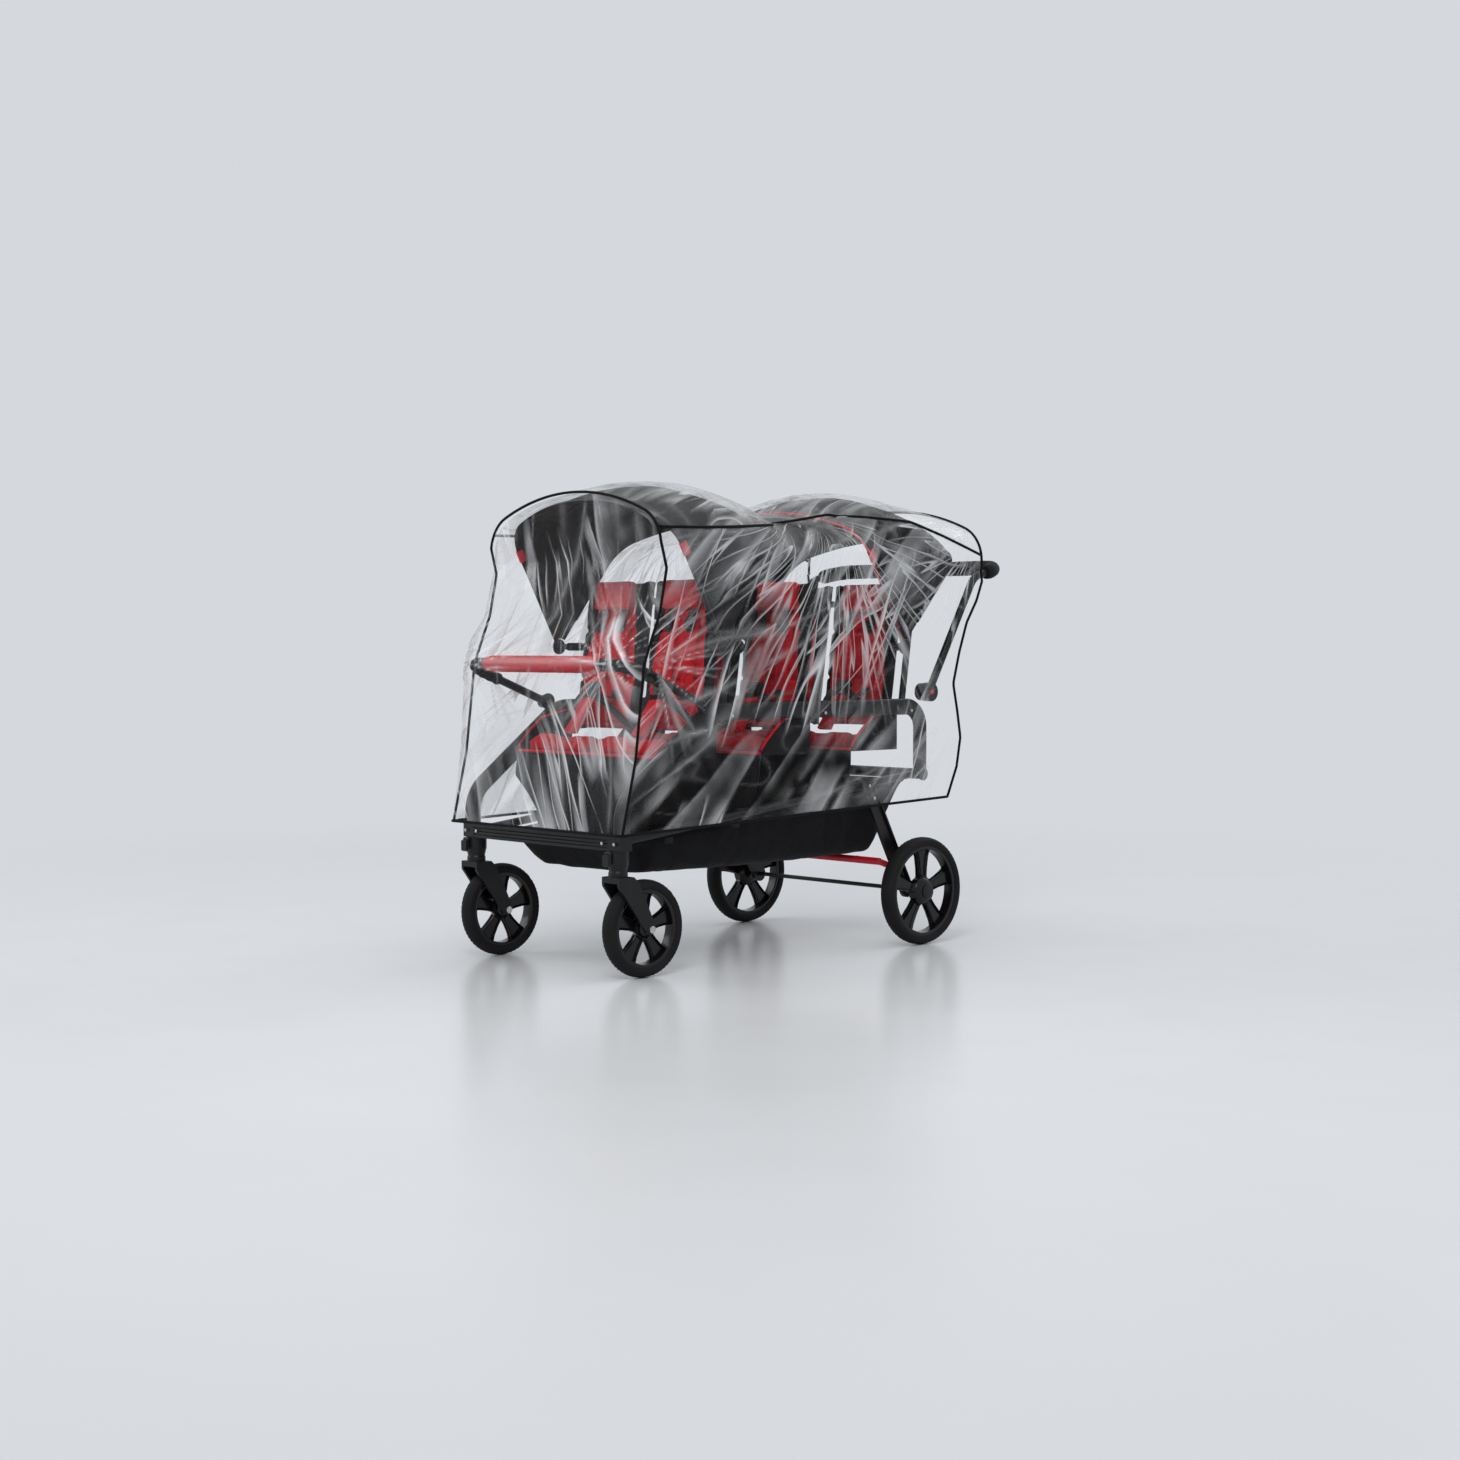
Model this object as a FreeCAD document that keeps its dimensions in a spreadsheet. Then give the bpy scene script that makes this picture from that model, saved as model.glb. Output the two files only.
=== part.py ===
"""Six-seat daycare stroller: three rows of two seats, hoods, harness pads, storage basket,
swivelling front wheels, folding push handle and a clear lift-off rain cover.

Lengths are millimetres. X points to the right as seen from in front of the stroller, Y from
the front wheels to the handle and Z up. Left and right are named as seen from in front. The
origin is on the floor, below the middle of the whole stroller.
"""
import FreeCAD, Part
import math
import os
import Sketcher
from FreeCAD import Rotation, Vector

UP = Vector(0, 0, 1)
RIGHT = Vector(1, 0, 0)
REARWARD = Vector(0, 1, 0)
NOWHERE = Vector(0, 0, 0)
SIDES = {"left": -1, "right": 1}
ROWS = ("front", "middle", "rear")
HOOD_ROWS = ("front", "rear")
COVER_LEVELS = ("hem", "shin", "lap", "chest", "face", "brow")

# Driving sizes
SIZES = {
    # wheels and running gear
    "front_wheel_d": 252, "rear_wheel_d": 305, "front_tyre_width": 44, "rear_tyre_width": 46,
    "tyre_depth": 27, "wheelbase": 998, "front_track": 590, "rear_track": 716,
    "rim_wall": 7, "rim_lip": 4, "hub_d": 46, "spoke_width": 11, "spoke_spread": 20, "spoke_depth": 22, "spoke_web": 7,
    "rear_hub_d": 78, "bolt_d": 10, "bolt_head_d": 19, "bolt_head_depth": 6,
    "axle_d": 12, "bearing_gap": 0.05, "side_gap": 0.4, "seat_gap": 0.3,
    # casters
    "trail": 82, "housing_d": 56, "housing_height": 66, "housing_neck_d": 46, "stem_d": 14,
    "stem_length": 44, "crown_d": 50, "crown_height": 15, "fork_wall": 8, "fork_slot": 52,
    "dropout_r": 17, "swivel_gap": 0.3, "lock_width": 22, "lock_height": 34, "lock_depth": 11,
    "lock_barrel_d": 8,
    # crossbar and side frames
    "crossbar_z": 348, "crossbar_height": 36, "crossbar_depth": 40, "crossbar_end": 31,
    "crossbar_rib": 3, "crossbar_bow": 8,
    "frame_x": 309, "frame_thickness": 20, "frame_depth": 46, "frame_corner": 8,
    "knee_z": 446, "knee_bend": 95, "rail_z": 675, "rail_front": 214, "rail_bend": 110,
    "rail_rear": 1046, "rear_bend": 60,
    "lower_rail_x": 285, "lower_rail_d": 22,
    "cross_tube_d": 30, "cross_tube_z": 481, "cross_tube_y": 1046, "cap_d": 37, "cap_length": 14,
    "seat_tube_d": 16,
    "leg_thickness": 12, "leg_width": 46, "leg_top_y": 834, "leg_lip": 5,
    "rivet_d": 11, "rivet_height": 2.5,
    # basket
    "basket_wall": 3, "basket_half": 262, "basket_floor_z": 258, "basket_front": 10,
    "basket_rear": 1026, "basket_rim_drop": 16, "basket_nose": 60, "basket_tail": 90,
    # seat rows
    "row_pitch": 352, "seat_front": 66, "seat_top_z": 572, "pan_thickness": 6, "seat_depth": 190,
    "seat_half": 278, "tub_wall": 4, "tub_side_height": 118, "apron_drop": 216, "apron_low_half": 196,
    "apron_slope": 26, "cushion_gap": 14, "cushion_height": 24, "cushion_crown": 9, "cushion_inset": 7,
    "cushion_corner": 26, "seam_depth": 4,
    "back_height": 440, "back_lean": 8.5, "back_y": 268, "back_thickness": 26, "back_tube_d": 19,
    "back_tube_x": 285, "back_tube_top": 350, "back_bend": 70, "back_gap": 0.4,
    "shoulder_width": 56, "shoulder_length": 215, "shoulder_depth": 12, "shoulder_spread": 86,
    "shoulder_top_z": 925, "head_pad_width": 150, "head_pad_height": 84, "head_pad_depth": 26,
    "head_pad_crown": 8, "head_pad_z": 984, "crotch_width": 56, "crotch_length": 125, "crotch_depth": 14,
    "crotch_lean": 34, "buckle_width": 46, "buckle_height": 40, "buckle_depth": 14,
    # hoods
    "hood_hinge_y": 244, "hood_hinge_z": 845, "hood_half": 334, "hood_crown": 434,
    "hood_corner": 100, "hood_slope": 22.8, "hood_cloth": 2.4, "hood_gap": 0.9,
    "hood_lead_tilt": 29, "front_hood_trail": 37, "rear_hood_trail": 42, "hood_split": 1, "hood_lap": 4,
    "bow_width": 14, "bow_depth": 6.4, "bow_gap": 0.3, "hinge_pin_d": 16,
    "hinge_eye_d": 44, "hinge_plate": 4,
    # bumper bar
    "bumper_x": 335, "bumper_d": 22, "bumper_hinge_y": 190, "bumper_hinge_z": 692, "bumper_front": 86,
    "bumper_z": 800, "bumper_bend": 72, "bumper_grip_d": 38, "bumper_grip_half": 236,
    "bumper_eye_d": 36, "eye_lip": 0.6, "bumper_pin_d": 10, "socket_d": 46,
    # push handle
    "handle_x": 331, "handle_d": 22, "handle_hinge_y": 1059, "handle_hinge_z": 716,
    "handle_knee_y": 1256, "handle_knee_z": 1050, "handle_reach": 1378, "handle_z": 1079,
    "handle_knee_bend": 70, "handle_corner_bend": 62, "grip_d": 44, "handle_disc_d": 54,
    "handle_pin_d": 14, "button_gap": 0.3, "button_seat": 0.8, "button_travel": 4,
    # parking brake
    "brake_pivot_y": 958, "brake_pivot_z": 216, "brake_reach": 66, "brake_rise": 22, "brake_bar_d": 20,
    "brake_arm": 7, "brake_half": 272, "brake_pin_d": 8, "brake_eye_d": 24,
    # rain cover
    "cover_half": 350.5, "cover_film": 1.4, "cover_seam_gap": 0.3, "cover_slack": 6, "cover_corner": 104,
    "hem_z": 372, "hem_forward": 124, "hem_corner": 8,
    "shin_z": 560, "shin_forward": 114, "shin_corner": 42,
    "lap_z": 800, "lap_forward": 113, "lap_corner": 70,
    "chest_z": 865, "chest_forward": 92, "chest_corner": 75,
    "face_z": 930, "face_forward": 30, "face_corner": 40,
    "brow_z": 1070, "brow_forward": -14, "brow_corner": 25,
    "cover_rear_hem_y": 1112, "cover_rear_hem_z": 414, "cover_rear_waist_y": 1130,
    "cover_rear_waist_z": 730, "cover_rear_top_y": 1284, "cover_rear_top_z": 1036,
    "cover_tail_drop": 34, "cover_tail_lap": 18, "cover_valley_z": 1225, "cover_brow_crest": 1254,
}


class Size(float):
    """A length that remembers the sheet expression it came from."""

    def __new__(cls, value, text=None):
        size = float.__new__(cls, value)
        size.text = text or "%.12g" % float(value)
        return size

    def joined(self, other, value, sign, swapped=False):
        other_text = other.text if isinstance(other, Size) else "%.12g" % float(other)
        first, last = (other_text, self.text) if swapped else (self.text, other_text)
        return Size(value, "(%s %s %s)" % (first, sign, last))

    def __add__(self, other):
        return self.joined(other, float(self) + float(other), "+")

    def __radd__(self, other):
        return self.joined(other, float(other) + float(self), "+", True)

    def __sub__(self, other):
        return self.joined(other, float(self) - float(other), "-")

    def __rsub__(self, other):
        return self.joined(other, float(other) - float(self), "-", True)

    def __mul__(self, other):
        return self.joined(other, float(self) * float(other), "*")

    def __rmul__(self, other):
        return self.joined(other, float(other) * float(self), "*", True)

    def __truediv__(self, other):
        return self.joined(other, float(self) / float(other), "/")

    def __neg__(self):
        return Size(-float(self), "(-%s)" % self.text)


doc = FreeCAD.newDocument("Stroller")
sheet = doc.addObject("Spreadsheet::Sheet", "Sizes")
for line, (alias, number) in enumerate(SIZES.items(), start=1):
    sheet.set("A%d" % line, alias)
    sheet.set("B%d" % line, str(number))
    sheet.setAlias("B%d" % line, alias)
doc.recompute()
finished = []


def size(name):
    """Return a driving size with its sheet reference."""
    return Size(sheet.get(name), "Sizes." + name)


def bind(item, name, value):
    """Drive one property by the sheet."""
    item.setExpression(name, value.text if isinstance(value, Size) else "%.12g" % value)


def place(item, x, y, z):
    """Put a sub-part's own origin at a point, driven by the sheet."""
    for letter, value in zip("xyz", (x, y, z)):
        bind(item, "Placement.Base." + letter, value)


def new_body(name):
    """Start one sub-part."""
    body = doc.addObject("PartDesign::Body", name)
    body.Label = name
    finished.append(body)
    return body


def datum(body, role):
    """Return an origin plane or axis of a body."""
    return next(item for item in body.Origin.OriginFeatures if item.Role == role)


def outline(body, name, role, points, circles=(), shift=None):
    """Sketch a closed outline, and circles, with every corner driven by the sheet."""
    sketch = body.newObject("Sketcher::SketchObject", name)
    sketch.AttachmentSupport = [(datum(body, role), "")]
    sketch.MapMode = "FlatFace"
    if shift is not None:
        bind(sketch, "AttachmentOffset.Base.z", shift)
    corners = [Vector(float(a), float(b), 0) for a, b in points]
    for index, corner in enumerate(corners):
        sketch.addGeometry(Part.LineSegment(corner, corners[(index + 1) % len(corners)]), False)
    for index in range(len(corners)):
        following = (index + 1) % len(corners)
        sketch.addConstraint(Sketcher.Constraint("Coincident", index, 2, following, 1))
    for index, (a, b) in enumerate(points):
        for kind, value in (("DistanceX", a), ("DistanceY", b)):
            number = sketch.addConstraint(Sketcher.Constraint(kind, -1, 1, index, 1, float(value)))
            if isinstance(value, Size):
                bind(sketch, "Constraints[%d]" % number, value)
    for a, b, diameter in circles:
        circle = Part.Circle(Vector(float(a), float(b), 0), UP, float(diameter) / 2)
        index = sketch.addGeometry(circle, False)
        for kind, value in (("DistanceX", a), ("DistanceY", b)):
            number = sketch.addConstraint(Sketcher.Constraint(kind, -1, 1, index, 3, float(value)))
            if isinstance(value, Size):
                bind(sketch, "Constraints[%d]" % number, value)
        number = sketch.addConstraint(Sketcher.Constraint("Diameter", index, float(diameter)))
        bind(sketch, "Constraints[%d]" % number, diameter)
    return sketch


def pad(body, sketch, length, midplane=False, reverse=False):
    """Raise a sketch into a solid."""
    feature = body.newObject("PartDesign::Pad", sketch.Name + "Pad")
    feature.Profile = sketch
    feature.Midplane = midplane
    feature.Reversed = reverse
    bind(feature, "Length", length)
    sketch.Visibility = False
    return feature


def pocket(body, sketch, length, midplane=False, reverse=False):
    """Cut a sketch into the body, and make sure that it removed something."""
    doc.recompute()
    before = body.Shape.Volume
    feature = body.newObject("PartDesign::Pocket", sketch.Name + "Pocket")
    feature.Profile = sketch
    feature.Midplane = midplane
    feature.Reversed = reverse
    bind(feature, "Length", length)
    doc.recompute()
    if body.Shape.Volume >= before:
        raise ValueError(body.Label + " pocket cuts nothing")
    return feature


def revolve(body, sketch, axis):
    """Turn a sketch all the way round one of its own axes."""
    feature = body.newObject("PartDesign::Revolution", sketch.Name + "Turn")
    feature.Profile = sketch
    feature.ReferenceAxis = (sketch, [axis])
    feature.Angle = 360
    return feature


def polar(body, feature, role, count):
    """Repeat a feature about an axis of the body."""
    pattern = body.newObject("PartDesign::PolarPattern", feature.Name + "Ring")
    pattern.Originals = [feature]
    pattern.Axis = (datum(body, role), [""])
    pattern.Angle = 360
    pattern.Occurrences = count
    body.Tip = pattern
    return pattern


def plain(name, shape, x=0, y=0, z=0):
    """Keep a shape made from the sheet's sizes as one sub-part."""
    item = doc.addObject("Part::Feature", name)
    item.Label = name
    item.Shape = shape
    place(item, x, y, z)
    finished.append(item)
    return item


def rod(start, end, diameter):
    """A straight round bar from one point to another."""
    run = end.sub(start)
    return Part.makeCylinder(float(diameter) / 2, run.Length, start, run)


def bent_path(points, radii):
    """Straight runs joined by tangent arcs, one radius for each inner point."""
    edges = []
    cursor = points[0]
    for before, corner, after, radius in zip(points, points[1:], points[2:], radii):
        incoming = corner.sub(before).normalize()
        outgoing = after.sub(corner).normalize()
        turn = incoming.getAngle(outgoing)
        setback = float(radius) * math.tan(turn / 2)
        first = corner - incoming * setback
        last = corner + outgoing * setback
        inward = (outgoing - incoming).normalize()
        middle = corner + inward * (float(radius) / math.cos(turn / 2) - float(radius))
        edges.append(Part.LineSegment(cursor, first).toShape())
        edges.append(Part.Arc(first, middle, last).toShape())
        cursor = last
    edges.append(Part.LineSegment(cursor, points[-1]).toShape())
    return Part.Wire(edges)


def swept(path, section, frenet=False):
    """Carry a closed section along a path."""
    return path.makePipeShell([section], True, frenet)


def round_tube(points, radii, diameter):
    """A bent round tube."""
    path = bent_path(points, radii)
    circle = Part.Wire(Part.Circle(points[0], points[1].sub(points[0]), float(diameter) / 2).toShape())
    return swept(path, circle)


def rounded_rectangle(width, height, corner, at=0.0):
    """A flat wire of lines and quarter arcs round the origin, at a height."""
    a, b, r = float(width) / 2, float(height) / 2, float(corner)
    bulge = r * (1 - math.sqrt(0.5))
    level = float(at)
    edges = []
    for sx, sy in ((1, -1), (1, 1), (-1, 1), (-1, -1)):
        begin = Vector(sx * a, sy * (b - r), level)
        close = Vector(sx * (a - r), sy * b, level)
        if sx * sy < 0:
            begin, close = close, begin
        edges.append(Part.Arc(begin, Vector(sx * (a - bulge), sy * (b - bulge), level), close).toShape())
        previous = edges[-2].Vertexes[-1].Point if len(edges) > 1 else None
        if previous is not None:
            edges.insert(-1, Part.LineSegment(previous, begin).toShape())
    edges.append(Part.LineSegment(edges[-1].Vertexes[-1].Point, edges[0].Vertexes[0].Point).toShape())
    return Part.Wire(Part.__sortEdges__(edges))


def cushion(width, height, thickness, crown, inset, corner):
    """A crowned pad lying flat: its sides pull in at top and bottom and its middle is proud."""
    levels = ((0, inset), (thickness * 0.3, inset * 0), (thickness * 0.72, inset * 0.15),
              (thickness, inset * 1.3), (thickness + crown * 0.7, inset * 4), (thickness + crown, inset * 8))
    wires = []
    for level, draw in levels:
        radius = max(float(corner) - float(draw) * 0.75, float(inset))
        wires.append(rounded_rectangle(width - draw * 2, height - draw * 2, radius, level))
    return Part.makeLoft(wires, True, True)


def moved(shape, x=0, y=0, z=0):
    """A copy of a shape, shifted."""
    copy = shape.copy()
    copy.translate(Vector(float(x), float(y), float(z)))
    return copy


def turned(shape, axis, angle, centre=NOWHERE):
    """A copy of a shape, turned about an axis through a point."""
    copy = shape.copy()
    copy.rotate(centre, axis, float(angle))
    return copy


def drawn(runs):
    """Edges from runs of points: two points are a line and three are an arc."""
    return [(Part.LineSegment(*run) if len(run) == 2 else Part.Arc(*run)).toShape() for run in runs]


def band(outer, inner):
    """A closed thin wire: out along one set of runs and back along the other."""
    back = [run[::-1] for run in inner[::-1]]
    joins = [(outer[-1][-1], back[0][0])]
    return Part.Wire(drawn(outer + joins + back + [(back[-1][-1], outer[0][0])]))


def arch_runs(half, crown, corner, slope, base):
    """The outline of a hood seen from the front: walls, rounded shoulders and a low crown."""
    lean = math.radians(float(slope))
    shoulder_x = float(half) - float(corner) * (1 - math.sin(lean))
    shoulder_z = float(crown) - shoulder_x * math.tan(lean / 2)
    wall_z = shoulder_z - float(corner) * math.cos(lean)
    centre = Vector(float(half) - float(corner), 0, wall_z)
    middle = (math.pi / 2 - lean) / 2
    bend = centre + Vector(float(corner) * math.cos(middle), 0, float(corner) * math.sin(middle))

    def flip(point):
        return Vector(-point.x, point.y, point.z)

    foot = Vector(float(half), 0, float(base))
    wall = Vector(float(half), 0, wall_z)
    shoulder = Vector(shoulder_x, 0, shoulder_z)
    peak = Vector(0, 0, float(crown))
    return [(flip(foot), flip(wall)), (flip(wall), flip(bend), flip(shoulder)), (flip(shoulder), peak, shoulder),
            (shoulder, bend, wall), (wall, foot)]


def arch_band(half, crown, corner, slope, base, thickness):
    """The thin wire between an arch and the same arch one thickness inside it."""
    outer = arch_runs(half, crown, corner, slope, base)
    inner = arch_runs(half - thickness, crown - thickness, corner - thickness, slope, base)
    return band(outer, inner)


# Places worked out from the driving sizes
front_wheel_r = size("front_wheel_d") / 2
rear_wheel_r = size("rear_wheel_d") / 2
handle_end = size("handle_reach") + size("grip_d") / 2
front_axle_y = (front_wheel_r - handle_end) / 2
rear_axle_y = front_axle_y + size("wheelbase")
swivel_y = front_axle_y - size("trail")
row_starts = [front_axle_y + size("row_pitch") * number for number in range(len(ROWS))]
crossbar_low = size("crossbar_z") - size("crossbar_height") / 2
crossbar_high = size("crossbar_z") + size("crossbar_height") / 2
rail_inner = size("frame_x") - size("frame_thickness") / 2
rail_outer = size("frame_x") + size("frame_thickness") / 2
leg_inner = size("lower_rail_x") + size("lower_rail_d") / 2 + size("seat_gap")
leg_x = leg_inner + size("leg_thickness") / 2
cross_tube_clear = size("cross_tube_d") + size("seat_gap") * 2
hood_hinges = [size("hood_hinge_y") + size("row_pitch") * ROWS.index(row) for row in HOOD_ROWS]
hood_reach = size("hood_crown") + size("bow_gap") + size("bow_depth")


def wheel(name, side, track, diameter, width, hub_d, y, bore_d):
    """A spoked wheel and its tyre, on the wheel's own centre."""
    tyre_inner = diameter / 2 - size("tyre_depth")
    rim_inner = tyre_inner - size("rim_wall")
    half = width / 2
    bore = bore_d / 2 + size("bearing_gap")
    label = "%s_wheel_%s" % (name, side)
    body = new_body(label)
    lip = size("rim_lip")
    rim = outline(body, label + "_rim", "XY_Plane", [
        (-half * 0.72, rim_inner), (half * 0.72, rim_inner), (half * 0.72, tyre_inner),
        (half * 0.5, tyre_inner), (half * 0.4, tyre_inner - lip), (-half * 0.4, tyre_inner - lip),
        (-half * 0.5, tyre_inner), (-half * 0.72, tyre_inner)])
    revolve(body, rim, "H_Axis")
    hub_half = half * 1.02
    hub = outline(body, label + "_hub", "XY_Plane", [
        (-hub_half, bore), (hub_half, bore), (hub_half, hub_d * 0.32), (half * 0.7, hub_d / 2),
        (-half * 0.7, hub_d / 2), (-hub_half, hub_d * 0.32)])
    revolve(body, hub, "H_Axis")
    spread, thin = size("spoke_spread"), size("spoke_width")
    overlap = (size("rim_wall") - lip) / 2
    near_end = rim_inner + overlap - spread * 0.055
    far_end = rim_inner + overlap - spread * 0.17
    for hand, sign in (("a", 1), ("b", -1)):
        spoke = outline(body, label + "_spoke_" + hand, "YZ_Plane", [
            (thin * (0.5 * sign) - thin / 2, hub_d * 0.4), (thin * (0.5 * sign) + thin / 2, hub_d * 0.4),
            (spread * sign + thin / 2, far_end if sign > 0 else near_end),
            (spread * sign - thin / 2, near_end if sign > 0 else far_end)])
        polar(body, pad(body, spoke, size("spoke_depth"), midplane=True), "X_Axis", 5)
    web = outline(body, label + "_spoke_web", "YZ_Plane", [
        (-thin, hub_d * 0.4), (thin, hub_d * 0.4), (spread, near_end), (-spread, near_end)])
    polar(body, pad(body, web, size("spoke_web"), midplane=True), "X_Axis", 5)
    place(body, track / 2 * SIDES[side], y, diameter / 2)

    tyre = new_body("%s_tyre_%s" % (name, side))
    shoulder = size("tyre_depth") * 0.45
    ring = outline(tyre, tyre.Name + "_ring", "XY_Plane", [
        (-half * 0.5, tyre_inner), (-half * 0.4, tyre_inner - lip), (half * 0.4, tyre_inner - lip),
        (half * 0.5, tyre_inner), (half * 0.82, tyre_inner), (half, tyre_inner + shoulder * 0.9),
        (half * 0.96, diameter / 2 - shoulder), (half * 0.78, diameter / 2 - shoulder * 0.38),
        (half * 0.42, diameter / 2 - shoulder * 0.08), (0 * half, diameter / 2),
        (-half * 0.42, diameter / 2 - shoulder * 0.08), (-half * 0.78, diameter / 2 - shoulder * 0.38),
        (-half * 0.96, diameter / 2 - shoulder), (-half, tyre_inner + shoulder * 0.9),
        (-half * 0.82, tyre_inner)])
    revolve(tyre, ring, "H_Axis")
    place(tyre, track / 2 * SIDES[side], y, diameter / 2)


def caster(side):
    """The housing's bearing is above; this is the swivelling fork with its axle bolt."""
    x = size("front_track") / 2 * SIDES[side]
    top = crossbar_low - size("housing_height") - size("swivel_gap")
    axle_drop = top - front_wheel_r
    crown_r = size("crown_d") / 2
    crown_h = size("crown_height")
    eye = size("dropout_r")
    trail = size("trail")
    half_width = size("fork_slot") / 2 + size("fork_wall")
    side_view = [
        Vector(0, -float(crown_r), 0), Vector(0, float(crown_r), 0),
        Vector(0, float(crown_r + trail * 0.2), -float(crown_h)),
        Vector(0, float(trail + eye * 0.9), -float(axle_drop - eye * 0.5)),
        Vector(0, float(trail + eye * 0.5), -float(axle_drop + eye * 0.87)),
        Vector(0, float(trail - eye * 0.8), -float(axle_drop + eye * 0.6)),
        Vector(0, -float(crown_r), -float(crown_h * 1.5))]
    plate = Part.Face(Part.makePolygon(side_view + side_view[:1]))
    block = moved(plate.extrude(RIGHT * float(half_width * 2)), -half_width)
    upright = [edge for edge in block.Edges if abs(edge.tangentAt(edge.FirstParameter).x) > 0.99]
    block = block.makeFillet(float(eye * 0.6), upright[2:])
    slot_low = Part.makeBox(float(size("fork_slot")), float(crown_r * 2 + trail * 2), float(axle_drop * 2),
                            Vector(-float(size("fork_slot") / 2), -float(crown_r) * 2,
                                   -float(crown_h + axle_drop * 2)))
    block = block.cut(slot_low)
    stem = Part.makeCylinder(float(size("stem_d") / 2), float(size("stem_length")))
    fork = block.fuse(stem).removeSplitter()
    across = float(half_width * 2) + 2 * float(size("bolt_head_depth"))
    hole = rod(Vector(-across, float(trail), -float(axle_drop)), Vector(across, float(trail), -float(axle_drop)),
               size("bolt_d") + size("bearing_gap") * 2)
    fork = fork.cut(hole)
    centre = Vector(0, float(trail), -float(axle_drop))
    reach = float(half_width)
    head = float(size("bolt_head_depth"))
    bolt = rod(centre - RIGHT * (reach + head), centre + RIGHT * (reach + head), size("bolt_d"))
    for sign in (-1, 1):
        face = centre + RIGHT * sign * reach
        bolt = bolt.fuse(rod(face, face + RIGHT * sign * head, size("bolt_head_d")))
    plain("caster_fork_" + side, fork, x, swivel_y, top)
    plain("caster_bolt_" + side, bolt.removeSplitter(), x, swivel_y, top)

    lock_w, lock_h, lock_d = size("lock_width"), size("lock_height"), size("lock_depth")
    lever = new_body("swivel_lock_" + side)
    shape = outline(lever, lever.Name + "_side", "YZ_Plane", [
        (0 * lock_d, 0 * lock_h), (-lock_d, -lock_h * 0.15), (-lock_d, -lock_h * 0.9),
        (-lock_d * 0.55, -lock_h), (0 * lock_d, -lock_h * 0.62)])
    pad(lever, shape, lock_w, midplane=True)
    roll = size("lock_barrel_d") / 2
    barrel = outline(lever, lever.Name + "_barrel", "XY_Plane", [
        (-lock_w / 2, 0 * roll), (lock_w / 2, 0 * roll), (lock_w / 2, roll), (-lock_w / 2, roll)])
    revolve(lever, barrel, "H_Axis")
    off = size("side_gap") + roll
    place(lever, x, swivel_y - size("housing_d") / 2 - off, crossbar_low - off)


def caster_housings():
    """Two turned bearing housings under the ends of the crossbar."""
    r, neck = size("housing_d") / 2, size("housing_neck_d") / 2
    height, bore = size("housing_height"), size("stem_d") / 2 + size("bearing_gap")
    deep = size("stem_length") + size("swivel_gap")
    profile = [(bore, 0), (neck * 1.08, 0), (neck * 1.08, height * 0.16), (neck, height * 0.24), (r, height * 0.55),
               (r, height), (0, height), (0, deep), (bore, deep)]
    points = [Vector(float(a), 0, float(b)) for a, b in profile]
    turned_body = Part.Face(Part.makePolygon(points + points[:1])).revolve(NOWHERE, UP, 360)
    offset = float(size("front_track") / 2)
    both = [moved(turned_body, offset * sign) for sign in (-1, 1)]
    plain("caster_housings", Part.makeCompound(both), 0, swivel_y, crossbar_low - height)


def crossbar():
    """The ribbed, slightly bowed extrusion that joins the two casters."""
    half, depth = size("front_track") / 2 + size("crossbar_end"), size("crossbar_depth")
    body = new_body("front_crossbar")
    bow = size("crossbar_bow")
    plan = outline(body, "crossbar_plan", "XY_Plane", [
        (-half, -depth / 2), (-half * 0.55, -depth / 2 - bow * 0.8), (0 * half, -depth / 2 - bow),
        (half * 0.55, -depth / 2 - bow * 0.8), (half, -depth / 2), (half, depth / 2), (-half, depth / 2)])
    pad(body, plan, size("crossbar_height"), midplane=True)
    rib = size("crossbar_rib")
    edge = size("crossbar_height") / 2
    for number, level in enumerate((-0.5, 0, 0.5)):
        middle = edge * level
        groove = outline(body, "crossbar_groove_%d" % number, "YZ_Plane", [
            (-depth, middle - rib / 2), (-depth / 2 + rib * 0.6, middle - rib / 2),
            (-depth / 2 + rib * 0.6, middle + rib / 2), (-depth, middle + rib / 2)])
        pocket(body, groove, half * 1.72, midplane=True)
    place(body, 0, swivel_y, size("crossbar_z"))


def side_frame(side):
    """One flat oval tube: up from the crossbar, back along the seats and down to the cross tube."""
    deep, thick, corner = size("frame_depth"), size("frame_thickness"), size("frame_corner")
    x = size("frame_x") * SIDES[side]
    low = Vector(0, float(swivel_y), float(crossbar_high))
    knee = Vector(0, float(swivel_y), float(size("knee_z")))
    front = Vector(0, float(front_axle_y + size("rail_front")), float(size("rail_z")))
    rear = Vector(0, float(front_axle_y + size("rail_rear")), float(size("rail_z")))
    foot = Vector(0, float(front_axle_y + size("rail_rear")), float(size("cross_tube_z")))
    path = bent_path([low, knee, front, rear, foot], [size("knee_bend"), size("rail_bend"), size("rear_bend")])
    section = rounded_rectangle(thick, deep, corner)
    section.translate(low)
    tube = swept(path, section).cut(rod(foot - RIGHT * float(thick), foot + RIGHT * float(thick), cross_tube_clear))
    plain("side_frame_" + side, tube, x)


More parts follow.
